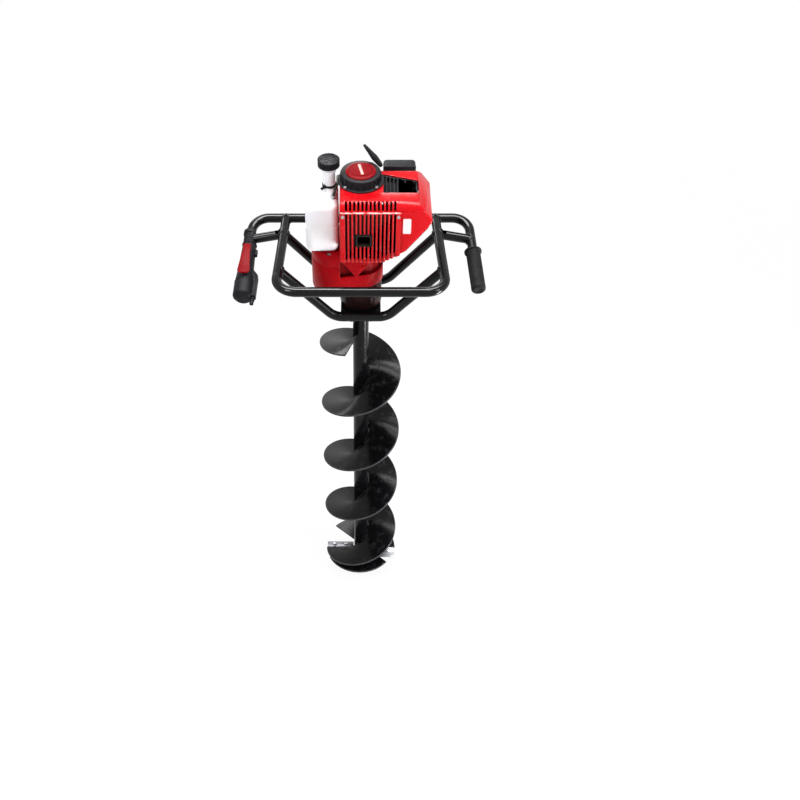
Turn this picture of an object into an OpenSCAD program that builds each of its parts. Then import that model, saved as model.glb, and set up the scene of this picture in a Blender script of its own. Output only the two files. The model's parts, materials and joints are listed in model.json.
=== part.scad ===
// One-man earth auger: engine with a vertical crank, two-stage gearbox, tube frame and spiral bit.
// Millimetres. Origin at the pilot tip, +Z up the drive axis, +X to the right of the photograph.

/* [Bit] */
// Diameter cut by the spiral flight
bit_d = 200; // [150:5:250]
// Rise of the flight in one turn
flight_pitch = 205; // [160:5:230]
// Number of turns of the main flight
flight_turns = 4.19; // [3:0.01:5]
// Thickness of the flight plate, measured upright
flight_t = 5; // [3:0.5:8]
// Height of the leading edge above the pilot tip
lead_z = 45; // [35:1:60]
// Outside diameter of the bit tube
bit_tube_d = 38; // [34:1:46]
// Wall of the bit tube
bit_tube_wall = 4; // [3:0.5:5]
// Bare tube above the flight
bit_neck = 74; // [64:1:120]
// Diameter of the hitch pin
hitch_pin_d = 8; // [6:1:10]

/* [Gearbox] */
// Diameter of the output shaft in the bit socket
output_d = 20; // [16:1:22]
// Free space between bit tube and mounting plate
shaft_gap = 23; // [10:1:60]
// Distance between drive axis and layshaft
gear_centres = 52; // [48:1:58]
// Height of the black bottom housing
bottom_h = 68; // [62:1:100]
// Height of the red gear case
case_h = 65; // [62:1:80]
// Wall of the red castings
case_wall = 5.5; // [4:0.5:8]
// Height of the clutch housing
clutch_h = 32; // [30:1:40]
// Diameter of the clutch drum
drum_d = 78; // [70:1:80]

/* [Engine] */
// Height of the crankcase
crankcase_h = 95; // [92:1:110]
// Cylinder bore
bore_d = 44; // [38:1:46]
// Piston stroke
stroke = 32; // [26:1:34]
// Diameter of the cooling fins
fin_d = 88; // [76:1:89]
// Number of cooling fins
fin_count = 7; // [4:1:8]
// Reach of the shroud to the right of the crank
shroud_right = 152; // [146:1:180]
// Front of the shroud ahead of the crank
shroud_front = 92; // [91:1:110]
// Back of the shroud behind the crank
shroud_back = 48; // [47:1:50]
// Top of the shroud above the engine base
shroud_h = 150; // [146:1:156]
// Wall of the shroud
shroud_wall = 2.5; // [2:0.5:3]
// Number of slots in the muffler guard
slot_count = 13; // [7:1:15]
// Diameter of the recoil starter
starter_d = 85; // [80:1:85]
// Width of the fuel tank
tank_w = 71; // [60:1:90]
// Depth of the fuel tank
tank_l = 105; // [80:1:110]
// Height of the fuel tank
tank_h = 127; // [110:1:150]
// Diameter of the fuel cap
cap_d = 47; // [44:1:52]

/* [Frame] */
// Diameter of the frame tubes
tube_d = 22; // [20:1:25]
// Wall of the frame tubes
tube_wall = 2; // [1.5:0.5:3]
// Rise of the guard above the cradle tubes
cradle_rise = 136; // [120:1:150]
// Half of the straight base of a cradle
cradle_base = 60; // [50:1:70]
// Distance of a cradle from the drive axis
cradle_y = 66; // [64:1:72]
// Half width of the guard hoop at the front
guard_front_w = 187; // [175:1:205]
// Half width of the guard hoop at the handlebar
guard_back_w = 174; // [165:1:180]
// Front rail ahead of the drive axis
guard_y = 142; // [135:1:180]
// Handlebar behind the drive axis
bar_y = 128; // [120:1:150]
// Grip tubes from the drive axis
grip_x = 250; // [235:1:280]
// Slope of the grip tubes
grip_slope = 14; // [6:1:18]
// Outward splay of the grip tubes
grip_splay = 4; // [0:0.5:8]
// Length of the right rubber grip
grip_len = 112; // [100:1:118]
// Diameter of the right rubber grip
grip_d = 33; // [30:1:38]
// Length of the throttle handle
throttle_len = 152; // [148:1:170]

/* [Hidden] */
$fn = 64;
// Radial clearance of seats and of running shafts
fit = 0.05;
run = 0.05;
eps = 0.01;
// Straight bars reach this far into an elbow, which is this much thicker
lap = 0.6;
elbow_more = 0.05;

// Heights along the drive axis, from the pilot tip upward
flight_top = lead_z + flight_pitch * flight_turns;
bit_top = flight_top + bit_neck;
plate_z = bit_top + shaft_gap;
plate_t = 6;
plate_half = 46;
bottom_z = plate_z + plate_t;
case_z = bottom_z + bottom_h;
clutch_z = case_z + case_h;
clutch_top = clutch_z + clutch_h;
bell_rim = 8;
engine_z = clutch_top + bell_rim;
crank_z = engine_z + crankcase_h / 2;
crankcase_top = engine_z + crankcase_h;
shroud_top = engine_z + shroud_h;

// Bit
bit_r = bit_d / 2;
bit_tube_r = bit_tube_d / 2;
output_r = output_d / 2;
socket_len = 80;
shaft_in_socket = socket_len - 4;
pin_z = bit_top - 38;
pin_r = hitch_pin_d / 2;
lead_angle = 180;
// each lower plate: angle from the lead, sweep, height above the lead, pitch
lower_front = [25, 113, 7, 32];
lower_back = [180, 138, 0, 44];
flight_gap = 0.15;
flight_step = 6;
pilot_top = lead_z - 18;
pilot_plug = 35;
blade_l = bit_r - bit_tube_r - 4;
blade_w = 30;
blade_t = 5;
blade_tilt = 17;

// Gears: pinions of 14 teeth drive wheels of 77 and 63 teeth
pinion_n = 14;
wheel_1_n = 77;
wheel_2_n = 63;
module_1 = 2 * gear_centres / (pinion_n + wheel_1_n);
module_2 = 2 * gear_centres / (pinion_n + wheel_2_n);
pressure = 20;
backlash = 0.12;
wheel_2_z = case_z + 15;
wheel_2_h = 16;
wheel_1_z = case_z + 36;
wheel_1_h = 11;
lay_x = -gear_centres;

// Bearings: bore, outside and width of each size
big_bearing = [25, 52, 15];
mid_bearing = [15, 35, 11];
small_bearing = [12, 32, 10];
seal_h = 7;
lay_top_z = clutch_z - 14;
input_z = clutch_z - 9;

// Castings
bottom_r = 48;
plate_bolt_r = 40;
case_r = gear_centres - 1.5;
lay_r = gear_centres + 7;
floor_t = 6;
// Lobe of the case that hangs lower round the layshaft
sump_drop = 17;
sump_x = -36;
bell_r = 48;
bell_inner = 42;
clutch_floor = clutch_z + 16;
ear_r = 7;
ear_at = 52;
// Waist of the gearbox: pockets beside a web narrow the case above the lower gear
waist_in = 9;
waist_wall = 3;
waist_z = [wheel_1_z + 1, clutch_floor - 2];
web_low = [-14, -6];
web_high = [-42, 28];
// Screws in the thick wall of the waist, and dowels in the web
screw_in = 6;
screw_r = 2.5;
screw_head = 4.5;
case_screws = [for (a = [110, 180, 250]) [lay_x, 0] + (lay_r - screw_in) * [cos(a), sin(a)]];
dowel_x = -10;
dowel_y = case_r - (lay_r - case_r) * dowel_x / gear_centres - screw_in;
case_dowels = [[dowel_x, dowel_y], [dowel_x, -dowel_y]];

// Clutch
drum_r = drum_d / 2;
drum_wall = 3;
drum_z = clutch_floor + 1;
drum_top = engine_z - 2;
shoe_gap = 0.8;
spider_w = 8;
shoe_z = drum_z + 10;
shoe_h = drum_top - shoe_z - 1;

// Crank train
crankcase_r = 40;
web_r = 31;
throw = stroke / 2;
crankpin_r = 7.5;
web_t = 14;
web_gap = 20.5;
rod_len = 56;
crown_up = 16;
wrist_r = 5;
piston_len = 30;
cavity_r = 33;
cavity_half = 28.5;
head_x = throw + rod_len + crown_up + 12;
cyl_x = 38;
liner_r = bore_d / 2 + 5;
fin_t = 2.5;
port_x = 70;
plug_tilt = 35;
plug_seat = 12.5;
port_r = 13;
port_bore = 9;
port_face = 46;
crank_r = mid_bearing[0] / 2 - run;
crank_low = shoe_z - 1;
crank_high = shroud_top - 8;

// Flywheel and starter
flywheel_r = 38;
flywheel_z = crankcase_top + 6;
blade_count = 12;
hub_h = shroud_top - 9 - flywheel_z;
fan_h = hub_h / 2;
starter_r = starter_d / 2;
starter_low = shroud_top - 10;
starter_top = shroud_top + 22;
reel_z = shroud_top - 2;
reel_h = 18;
pull_turn = 60;
pull_lift = 26.6;
exit_z = shroud_top + 13;
grip_out = 20;
rope_r = 2;

// Shroud, muffler and guard
shroud_left = 45;
shroud_round = 10;
rear_bevel = 12;
front_round = 20;
shroud_low = engine_z + 4;
hood_z = engine_z + 92;
skirt_z = engine_z + 10;
muffler_y = [-86, -port_face - 0.05];
outlet_x = 6;
outlet_z = engine_z + 63;
outlet_w = 33;
outlet_h = 29;
guard_x = [-43, 84];
guard_z = [shroud_low, shroud_top - 17];
guard_out = 5;
guard_rim = 4;
slot_margin = 8;
slot_pitch = (guard_x[1] - guard_x[0] - 2 * slot_margin) / slot_count;
window_x = [48, 122];
window_y = [-45, 24];
window_skew = 23;
louvre_y = 16 - shroud_front;
duct_end = shroud_right - 31.5;
duct_ribs = 9;
slot_w = 4.6;

// Intake side
filter_x = [50, 122];
filter_z = [engine_z + 10, engine_z + 124];
carb_y = [58.1, 92];
base_y = [92.1, 97];
cover_y = [97.1, 125];

// Tank
tank_x = -shroud_left - 4 - tank_w / 2;
tank_y = 3;
tank_z = clutch_top + fit;
tank_top = tank_z + tank_h;
tank_wall = 2.5;
neck_x = -68;
neck_y = 10;
neck_r = 13.5;
neck_top = tank_top + 72;
cap_r = cap_d / 2;
cap_z = neck_top - 10;
cap_h = 17;
hose_r = 3;
hose_bend = 12;

// Frame
tube_r = tube_d / 2;
cope = 0.1;
base_z = plate_z + plate_t / 2;
rail_z = base_z + cradle_rise;
bend_r = 45;
bar_bend = 40;
right_len = 207;
left_len = 80 + throttle_len - 5;
throttle_z = 80;
sleeve_z = 44;
gland_at = [23, -3];
function guard_at(y) = guard_back_w + (guard_front_w - guard_back_w) * (bar_y - y) / (bar_y + guard_y);
grip_dir = [cos(grip_slope) * sin(grip_splay), -cos(grip_slope) * cos(grip_splay), -sin(grip_slope)];
brace_at = (bar_y - cradle_y) / -grip_dir[1];
function across(v) = [-v[0], v[1], v[2]];

// Bars and tubes

function unit(v) = v / norm(v);
function turn_at(a, p, b) = acos(unit(p - a) * unit(b - p));
function trim_at(pts, i, r) =
    i == 0 || i == len(pts) - 1 ? 0 : r * tan(turn_at(pts[i - 1], pts[i], pts[i + 1]) / 2);

// Round bar from a to b, lengthened at each end
module rod(a, b, r, more_a = 0, more_b = 0) {
    d = b - a;
    translate(a)
        rotate([0, acos(d[2] / norm(d)), atan2(d[1], d[0])])
            translate([0, 0, -more_a])
                cylinder(r = r, h = norm(d) + more_a + more_b);
}

// Elbow at corner p of a bent bar
module elbow(a, p, b, r, bend) {
    d1 = unit(p - a);
    d2 = unit(b - p);
    turn = acos(d1 * d2);
    centre = p + unit(d2 - d1) * bend / cos(turn / 2);
    e1 = unit(p - d1 * bend * tan(turn / 2) - centre);
    n = unit(cross(d1, d2));
    multmatrix([[e1[0], d1[0], n[0], centre[0]],
                [e1[1], d1[1], n[1], centre[1]],
                [e1[2], d1[2], n[2], centre[2]]])
        rotate_extrude(angle = turn)
            translate([bend, 0])
                circle(r = r);
}

module bent_bar(pts, r, bend, more = 0) {
    last = len(pts) - 1;
    for (i = [0 : last - 1]) {
        d = unit(pts[i + 1] - pts[i]);
        rod(pts[i] + d * trim_at(pts, i, bend), pts[i + 1] - d * trim_at(pts, i + 1, bend), r,
            i == 0 ? more : lap, i == last - 1 ? more : lap);
    }
    for (i = [1 : last - 1])
        elbow(pts[i - 1], pts[i], pts[i + 1], r + elbow_more, bend);
}

module ring(r_out, r_in, h) {
    difference() {
        cylinder(r = r_out, h = h);
        translate([0, 0, -1])
            cylinder(r = r_in, h = h + 2);
    }
}

module bearing(size) {
    ring(size[1] / 2 - fit, size[0] / 2, size[2]);
}

// Box between two corners
module block(x, y, z) {
    translate([x[0], y[0], z[0]])
        cube([x[1] - x[0], y[1] - y[0], z[1] - z[0]]);
}

// Frame

bar_right = [grip_x, bar_y, rail_z] + grip_dir * right_len;
bar_left = [-grip_x, bar_y, rail_z] + across(grip_dir) * left_len;
bar_pts = [bar_right, [grip_x, bar_y, rail_z], [-grip_x, bar_y, rail_z], bar_left];
hoop_pts = [[guard_back_w, bar_y, rail_z], [guard_front_w, -guard_y, rail_z],
            [-guard_front_w, -guard_y, rail_z], [-guard_back_w, bar_y, rail_z]];

function cradle_pts(y) = [[guard_at(y), y, rail_z], [cradle_base, y, base_z],
                          [-cradle_base, y, base_z], [-guard_at(y), y, rail_z]];

module handlebar() {
    color("#16171a")
        difference() {
            bent_bar(bar_pts, tube_r, bar_bend);
            bent_bar(bar_pts, tube_r - tube_wall, bar_bend, 1);
        }
}

module guard_hoop() {
    color("#16171a")
        difference() {
            bent_bar(hoop_pts, tube_r, bend_r);
            bent_bar(hoop_pts, tube_r - tube_wall, bend_r, 1);
            rod([-grip_x, bar_y, rail_z], [grip_x, bar_y, rail_z], tube_r + cope);
        }
}

module hoop_rails(r) {
    for (side = [0, 1])
        mirror([side, 0, 0])
            rod(hoop_pts[0], hoop_pts[1], r, 20, 0);
}

module cradle(y) {
    color("#16171a")
        difference() {
            bent_bar(cradle_pts(y), tube_r, bend_r);
            bent_bar(cradle_pts(y), tube_r - tube_wall, bend_r, 1);
            hoop_rails(tube_r + cope);
            translate([0, 0, rail_z + 50])
                cube([3 * grip_x, 4 * bar_y, 100], center = true);
        }
}

module front_cradle() {
    cradle(-cradle_y);
}

module rear_cradle() {
    cradle(cradle_y);
}

module side_braces() {
    rear = cradle_pts(cradle_y);
    a = rear[0];
    b = [grip_x, bar_y, rail_z] + grip_dir * brace_at;
    color("#16171a")
        for (side = [0, 1])
            mirror([side, 0, 0])
                difference() {
                    rod(a, b, tube_r);
                    rod(a, b, tube_r - tube_wall, 1, 1);
                    hoop_rails(tube_r + cope);
                    rod(rear[0], rear[1], tube_r + cope, tube_d, 0);
                    rod([grip_x, bar_y, rail_z], [grip_x, bar_y, rail_z] + grip_dir * right_len,
                        tube_r + cope);
                }
}

module on_plate_bolts(r) {
    for (a = [45 : 90 : 315])
        rotate(a)
            translate([r, 0, 0])
                children();
}

module mount_plate() {
    color("#1a1b1e")
        difference() {
            block([-plate_half, plate_half], [-cradle_y, cradle_y], [plate_z, bottom_z]);
            for (y = [-cradle_y, cradle_y])
                rod([-grip_x, y, base_z], [grip_x, y, base_z], tube_r + cope);
            translate([0, 0, plate_z - 1])
                cylinder(r = 20, h = plate_t + 2);
            on_plate_bolts(plate_bolt_r)
                translate([0, 0, plate_z - 1])
                    cylinder(r = 4.2, h = plate_t + 2);
        }
}

// Grips. Local +Z runs along a grip tube from its bend to its free end, local +Y is up.
module on_grip(x) {
    translate([x, bar_y, rail_z])
        rotate([90 + grip_slope, 0, x > 0 ? grip_splay : -grip_splay])
            children();
}

module right_grip() {
    start = right_len + 3 - grip_len;
    color("#1c1c1e")
        on_grip(grip_x)
            difference() {
                union() {
                    translate([0, 0, start])
                        cylinder(d = grip_d, h = grip_len);
                    translate([0, 0, start])
                        cylinder(d = grip_d + 7, h = 5);
                }
                translate([0, 0, start - 1])
                    cylinder(r = tube_r + fit, h = right_len - start + 1 + fit);
            }
}

trigger_z = throttle_z + 68;
lever_z = throttle_z + 24;
switch_z = throttle_z + 24;

module throttle_solid() {
    difference() {
        union() {
            // Sleeve that reaches up past the brace, with a collar
            translate([0, 0, sleeve_z])
                cylinder(r = 15.5, h = throttle_z - sleeve_z + 1, $fn = 32);
            translate([0, 0, sleeve_z])
                cylinder(r = 17.5, h = 9, $fn = 32);
            hull() {
                translate([0, 0, throttle_z])
                    cylinder(r = 15.5, h = 1, $fn = 32);
                translate([0, 0, throttle_z + 70])
                    cylinder(r = 18, h = 1, $fn = 32);
            }
            hull() {
                translate([0, 0, throttle_z + 69])
                    cylinder(r = 18, h = 1, $fn = 32);
                translate([2, -2, throttle_z + throttle_len - 38])
                    cylinder(r = 23.5, h = 30, $fn = 32);
                translate([2, -2, throttle_z + throttle_len - 1])
                    cylinder(r = 17, h = 1, $fn = 32);
            }
            translate([-5, 12, lever_z - 6])
                cube([10, 11, 12]);
            // Cable box on the inner side, with the gland at its end
            hull() {
                translate([12, -14, throttle_z + 76])
                    cube([6, 24, throttle_len - 80]);
                translate([20, -11, throttle_z + 90])
                    cube([10, 18, throttle_len - 96]);
            }
            translate([gland_at[0], gland_at[1], throttle_z + throttle_len - 12])
                cylinder(r = 4.5, h = 24);
        }
        translate([0, 0, sleeve_z - 1])
            cylinder(r = tube_r + fit, h = throttle_z + throttle_len - sleeve_z - 4 + fit);
        // Slot for the brace, open at the end of the sleeve
        translate([0, -tube_r - 2, sleeve_z - 1])
            cube([40, tube_d + 5, brace_at - sleeve_z + tube_r + 3]);
        // Trigger slot and its pin holes
        translate([-6.5, -40, trigger_z - 8])
            cube([13, 28, 75]);
        translate([-12, -15.5, trigger_z])
            rotate([0, 90, 0])
                cylinder(r = 2 + run, h = 24);
        // Pin hole of the safety lever
        translate([-10, 19, lever_z])
            rotate([0, 90, 0])
                cylinder(r = 2 + run, h = 20);
        // Pocket of the stop switch
        translate([11.6, -5.2, switch_z - 8.2])
            cube([20, 10.4, 16.4]);
    }
}

module throttle_body_inner() {
    color("#1c1c1e")
        on_grip(-grip_x)
            intersection() {
                throttle_solid();
                translate([0.05, -60, sleeve_z - 5])
                    cube([60, 120, throttle_len + 80]);
            }
}

module throttle_body_outer() {
    color("#1c1c1e")
        on_grip(-grip_x)
            intersection() {
                throttle_solid();
                translate([-60.05, -60, sleeve_z - 5])
                    cube([60, 120, throttle_len + 80]);
            }
}

module throttle_trigger() {
    color("#17171a")
        on_grip(-grip_x)
            translate([0, -15.5, trigger_z])
                union() {
                    translate([-5.5, 0, 0])
                        rotate([0, 90, 0])
                            cylinder(r = 3.2, h = 11);
                    translate([-11, 0, 0])
                        rotate([0, 90, 0])
                            cylinder(r = 2, h = 22);
                    translate([-5.5, 0, 0])
                        rotate([90, 0, 90])
                            linear_extrude(11)
                                polygon([[0, -3.2], [3, 0], [-7, 40], [-17, 60], [-24, 58], [-15, 36],
                                         [-6, 8]]);
                }
}

module safety_lever() {
    color("#c8202a")
        on_grip(-grip_x)
            translate([0, 19, lever_z])
                union() {
                    for (s = [-1, 1])
                        translate([s * 6.8 - 1.5, 0, 0])
                            rotate([0, 90, 0])
                                cylinder(r = 3, h = 3);
                    translate([-8.3, 0, 0])
                        rotate([0, 90, 0])
                            cylinder(r = 2, h = 16.6);
                    for (s = [-1, 1])
                        translate([s * 6.8 - 1.5, 0, 0])
                            cube([3, 12, 8]);
                    rotate([-90, 0, 0])
                        translate([0, 0, 8])
                            linear_extrude(4)
                                polygon([[-8.3, 4], [8.3, 4], [8.3, -10], [14, -72], [8, -78], [-8, -78],
                                         [-14, -72], [-8.3, -10]]);
                }
}

module stop_switch() {
    color("#b01c22")
        on_grip(-grip_x)
            translate([15.2, -5, switch_z - 8])
                cube([5.6, 10, 16]);
}

// Gears

function roll_at(rb, r) = r <= rb ? 0 : sqrt(pow(r / rb, 2) - 1) * 180 / PI;
function roll_polar(t) = t - atan(t * PI / 180);
function flank(m, n, r) =
    let (rp = m * n / 2, rb = rp * cos(pressure))
    (PI * m / 4 - backlash) / rp * 180 / PI + roll_polar(roll_at(rb, rp)) - roll_polar(roll_at(rb, r));
function tooth(m, n, a) =
    let (rp = m * n / 2, rs = [rp - 1.2 * m, rp * cos(pressure), rp - 0.2 * m, rp + 0.3 * m, rp + 0.9 * m],
         up = [for (r = rs) if (r >= rp - 1.2 * m) r])
    concat([for (r = up) r * [cos(a - flank(m, n, r)), sin(a - flank(m, n, r))]],
           [for (i = [len(up) - 1 : -1 : 0])
               up[i] * [cos(a + flank(m, n, up[i])), sin(a + flank(m, n, up[i]))]]);

module gear(m, n, h, phase, hole) {
    linear_extrude(h)
        difference() {
            polygon([for (i = [0 : n - 1]) each tooth(m, n, phase + 360 / n * i)]);
            if (hole > 0)
                circle(r = hole);
        }
}

// Outline around both gear axes, set in by the given amount
module gear_outline(inset, h) {
    r = case_r - inset;
    lr = lay_r - inset;
    cylinder(r = r, h = h);
    translate([lay_x, 0, 0])
        cylinder(r = lr, h = h);
    linear_extrude(h)
        polygon([[0, -r], [0, r], [lay_x, lr], [lay_x, -lr]]);
}

// Gearbox

lower_bearing_z = bottom_z + 10;
upper_bearing_z = case_z - 2 - big_bearing[2];

module bottom_housing() {
    color("#1d1a1b")
        difference() {
            union() {
                translate([0, 0, bottom_z])
                    cylinder(r = bottom_r, h = bottom_h - eps);
                on_plate_bolts(plate_bolt_r)
                    translate([0, 0, bottom_z])
                        cylinder(r = 10, h = bottom_h - eps);
            }
            translate([0, 0, bottom_z - 1])
                cylinder(d = big_bearing[1], h = lower_bearing_z + big_bearing[2] + 1 - bottom_z);
            translate([0, 0, bottom_z])
                cylinder(r = 22, h = bottom_h + 1);
            translate([0, 0, upper_bearing_z])
                cylinder(d = big_bearing[1], h = 40);
            on_plate_bolts(plate_bolt_r)
                translate([0, 0, bottom_z - 1])
                    cylinder(r = 4 + fit, h = 25);
            on_plate_bolts(plate_bolt_r)
                translate([0, 0, case_z - 20])
                    cylinder(r = 3 + fit, h = 30);
        }
}

module shaft_seal() {
    color("#2a1f18")
        translate([0, 0, bottom_z + 2])
            ring(big_bearing[1] / 2 - fit, big_bearing[0] / 2 + 0.05, seal_h);
}

// Pockets of the waist, seen from the front, in the skin of the case
module waist_pockets() {
    front = -lay_r - waist_in;
    difference() {
        rotate([90, 0, 0])
            linear_extrude(-front) {
                polygon([[web_high[0] - 4, waist_z[0]], [web_low[0], waist_z[0]],
                         [web_high[0], waist_z[1]], [web_high[0] - 4, waist_z[1]]]);
                polygon([[web_low[1], waist_z[0]], [-front, waist_z[0]],
                         [-front, waist_z[1]], [web_high[1], waist_z[1]]]);
            }
        gear_outline(waist_in, 2 * clutch_top);
    }
}

module case_screw_holes() {
    for (p = case_screws)
        translate([p[0], p[1], clutch_z - 16])
            cylinder(r = screw_r + fit, h = 2 * clutch_h);
    for (p = case_screws)
        translate([p[0], p[1], clutch_top - screw_head - 1])
            cylinder(r = 2 * screw_r, h = clutch_h);
    for (p = case_dowels)
        translate([p[0], p[1], clutch_z - 13])
            cylinder(r = screw_r + fit, h = 26);
}

module case_sump(inset, low, high) {
    difference() {
        intersection() {
            translate([0, 0, low])
                gear_outline(inset, high - low);
            block([2 * lay_x - lay_r, sump_x - inset], [-lay_r, lay_r], [low, high]);
        }
        translate([0, 0, low - 1])
            cylinder(r = bottom_r + 3 + inset, h = high - low + 2);
    }
}

module gear_case() {
    color("#a51a20")
        difference() {
            union() {
                difference() {
                    translate([0, 0, case_z])
                        gear_outline(0, case_h - eps);
                    translate([0, 0, case_z + floor_t])
                        gear_outline(case_wall, waist_z[0] - waist_wall - case_z - floor_t);
                    translate([0, 0, case_z + floor_t])
                        gear_outline(waist_in + waist_wall, case_h);
                }
                translate([lay_x, 0, case_z])
                    cylinder(r = 20, h = 13);
                case_sump(0, case_z - sump_drop, case_z + 1);
            }
            case_sump(case_wall, case_z - sump_drop - 1, case_z);
            translate([0, 0, case_z - 1])
                cylinder(r = 22, h = floor_t + 2);
            translate([lay_x, 0, case_z + 3])
                cylinder(d = small_bearing[1], h = 20);
            on_plate_bolts(plate_bolt_r)
                translate([0, 0, case_z - 1])
                    cylinder(r = 3.2, h = floor_t + 2);
            waist_pockets();
            case_screw_holes();
        }
}

module clutch_housing() {
    color("#b81e24")
        difference() {
            union() {
                difference() {
                    union() {
                        translate([0, 0, clutch_z])
                            gear_outline(0, clutch_h);
                        translate([0, 0, clutch_z])
                            cylinder(r = bell_r, h = clutch_h + bell_rim - eps);
                        on_plate_bolts(ear_at)
                            translate([0, 0, clutch_top - 6])
                                cylinder(r = ear_r, h = bell_rim + 6 - eps);
                    }
                    translate([0, 0, clutch_z - 1])
                        gear_outline(waist_in + waist_wall, 11);
                    difference() {
                        translate([0, 0, clutch_z])
                            gear_outline(waist_in + waist_wall, clutch_h - 5);
                        cylinder(r = bell_inner + 5, h = 2 * clutch_z);
                    }
                }
                translate([0, 0, clutch_z - 11])
                    cylinder(r = 22.5, h = 27);
                translate([lay_x, 0, lay_top_z])
                    cylinder(r = 20, h = clutch_top - lay_top_z - 2);
            }
            translate([0, 0, clutch_floor])
                cylinder(r = bell_inner, h = 60);
            translate([0, 0, input_z])
                cylinder(d = mid_bearing[1], h = 60);
            translate([0, 0, clutch_z - 20])
                cylinder(r = 11, h = 60);
            translate([lay_x, 0, lay_top_z - 1])
                cylinder(d = small_bearing[1], h = small_bearing[2] + 1);
            waist_pockets();
            case_screw_holes();
            on_plate_bolts(ear_at)
                translate([0, 0, clutch_top - 10])
                    cylinder(r = 3 + fit, h = 30);
        }
}

module bearings() {
    color("#9a9da3") {
        translate([0, 0, lower_bearing_z])
            bearing(big_bearing);
        translate([0, 0, upper_bearing_z])
            bearing(big_bearing);
        translate([lay_x, 0, case_z + 3])
            bearing(small_bearing);
        translate([lay_x, 0, lay_top_z])
            bearing(small_bearing);
        translate([0, 0, input_z])
            bearing(mid_bearing);
        translate([0, 0, input_z + mid_bearing[2] + eps])
            bearing(mid_bearing);
        translate([0, 0, crank_z - cavity_half - mid_bearing[2] - 0.5])
            bearing(mid_bearing);
        translate([0, 0, crank_z + cavity_half + 0.5])
            bearing(mid_bearing);
    }
}

module hex_bolt(r, len, head) {
    translate([0, 0, -len])
        cylinder(r = r, h = len);
    cylinder(r = 1.75 * r, h = head, $fn = 6);
}

module gearbox_bolts() {
    color("#8d9096") {
        on_plate_bolts(plate_bolt_r)
            translate([0, 0, plate_z])
                mirror([0, 0, 1])
                    hex_bolt(4, 28, 5.5);
        on_plate_bolts(plate_bolt_r)
            translate([0, 0, case_z + floor_t])
                hex_bolt(3, 22, 4);
        for (p = case_screws)
            translate([p[0], p[1], clutch_top - screw_head - 1])
                union() {
                    cylinder(r = 2 * screw_r - 0.4, h = screw_head);
                    translate([0, 0, -40])
                        cylinder(r = screw_r, h = 41);
                }
        for (p = case_dowels)
            translate([p[0], p[1], clutch_z - 12.5])
                cylinder(r = screw_r, h = 25);
        on_plate_bolts(ear_at)
            translate([0, 0, engine_z + 6])
                hex_bolt(3, 20, 4);
    }
}

module output_shaft() {
    seat = big_bearing[0] / 2 - run;
    color("#8f9298")
        difference() {
            union() {
                translate([0, 0, bit_top - shaft_in_socket])
                    cylinder(r = output_r, h = bottom_z - 2 - bit_top + shaft_in_socket + eps);
                translate([0, 0, bottom_z - 2])
                    cylinder(r = seat, h = wheel_2_z - bottom_z + 2);
                translate([0, 0, wheel_2_z - eps])
                    cylinder(r = 11, h = wheel_2_h + 2);
            }
            translate([-30, 0, pin_z])
                rotate([0, 90, 0])
                    cylinder(r = pin_r + fit, h = 60);
        }
}

module output_gear() {
    color("#7d8087")
        translate([0, 0, wheel_2_z])
            gear(module_2, wheel_2_n, wheel_2_h, 0, 11 + fit);
}

module layshaft() {
    color("#85888f")
        translate([lay_x, 0, 0])
            union() {
                translate([0, 0, case_z + 4])
                    cylinder(r = small_bearing[0] / 2 - run, h = lay_top_z + 9 - case_z - 4);
                translate([0, 0, case_z + 14])
                    cylinder(r = 7.5, h = lay_top_z - case_z - 15);
                translate([0, 0, wheel_2_z - 1])
                    gear(module_2, pinion_n, wheel_2_h + 2, 0, 0);
                translate([0, 0, wheel_2_z + wheel_2_h])
                    cylinder(r = 9.4, h = wheel_1_z - wheel_2_z - wheel_2_h);
            }
}

module layshaft_gear() {
    color("#7d8087")
        translate([lay_x, 0, wheel_1_z + eps])
            gear(module_1, wheel_1_n, wheel_1_h, 180 / wheel_1_n, 7.5 + fit);
}

module input_pinion() {
    seat = mid_bearing[0] / 2 - run;
    color("#85888f") {
        translate([0, 0, wheel_1_z - 1])
            gear(module_1, pinion_n, wheel_1_h + 3, 0, 0);
        translate([0, 0, wheel_1_z - 1])
            cylinder(r = 5, h = input_z - wheel_1_z + 1);
        translate([0, 0, input_z - eps])
            cylinder(r = seat, h = drum_z - input_z);
        translate([0, 0, drum_z - 1])
            cylinder(r = 6, h = 8);
    }
}

module clutch_drum() {
    color("#777a80")
        difference() {
            union() {
                difference() {
                    translate([0, 0, drum_z])
                        cylinder(r = drum_r, h = drum_top - drum_z);
                    translate([0, 0, drum_z + 3])
                        cylinder(r = drum_r - drum_wall, h = 60);
                }
                translate([0, 0, drum_z])
                    cylinder(r = 11, h = 6);
            }
            translate([0, 0, drum_z - 1])
                cylinder(r = 6 + fit, h = 20);
        }
}

module shoe() {
    shoe_r = drum_r - drum_wall - shoe_gap;
    color("#4a4038")
        translate([0, 0, shoe_z])
            intersection() {
                ring(shoe_r, 13, shoe_h);
                translate([-60, spider_w / 2 + 0.3, -1])
                    cube([120, 60, shoe_h + 2]);
            }
}

module clutch_shoe_front() {
    mirror([0, 1, 0])
        shoe();
}

module clutch_shoe_back() {
    shoe();
}

// Crank train

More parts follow.
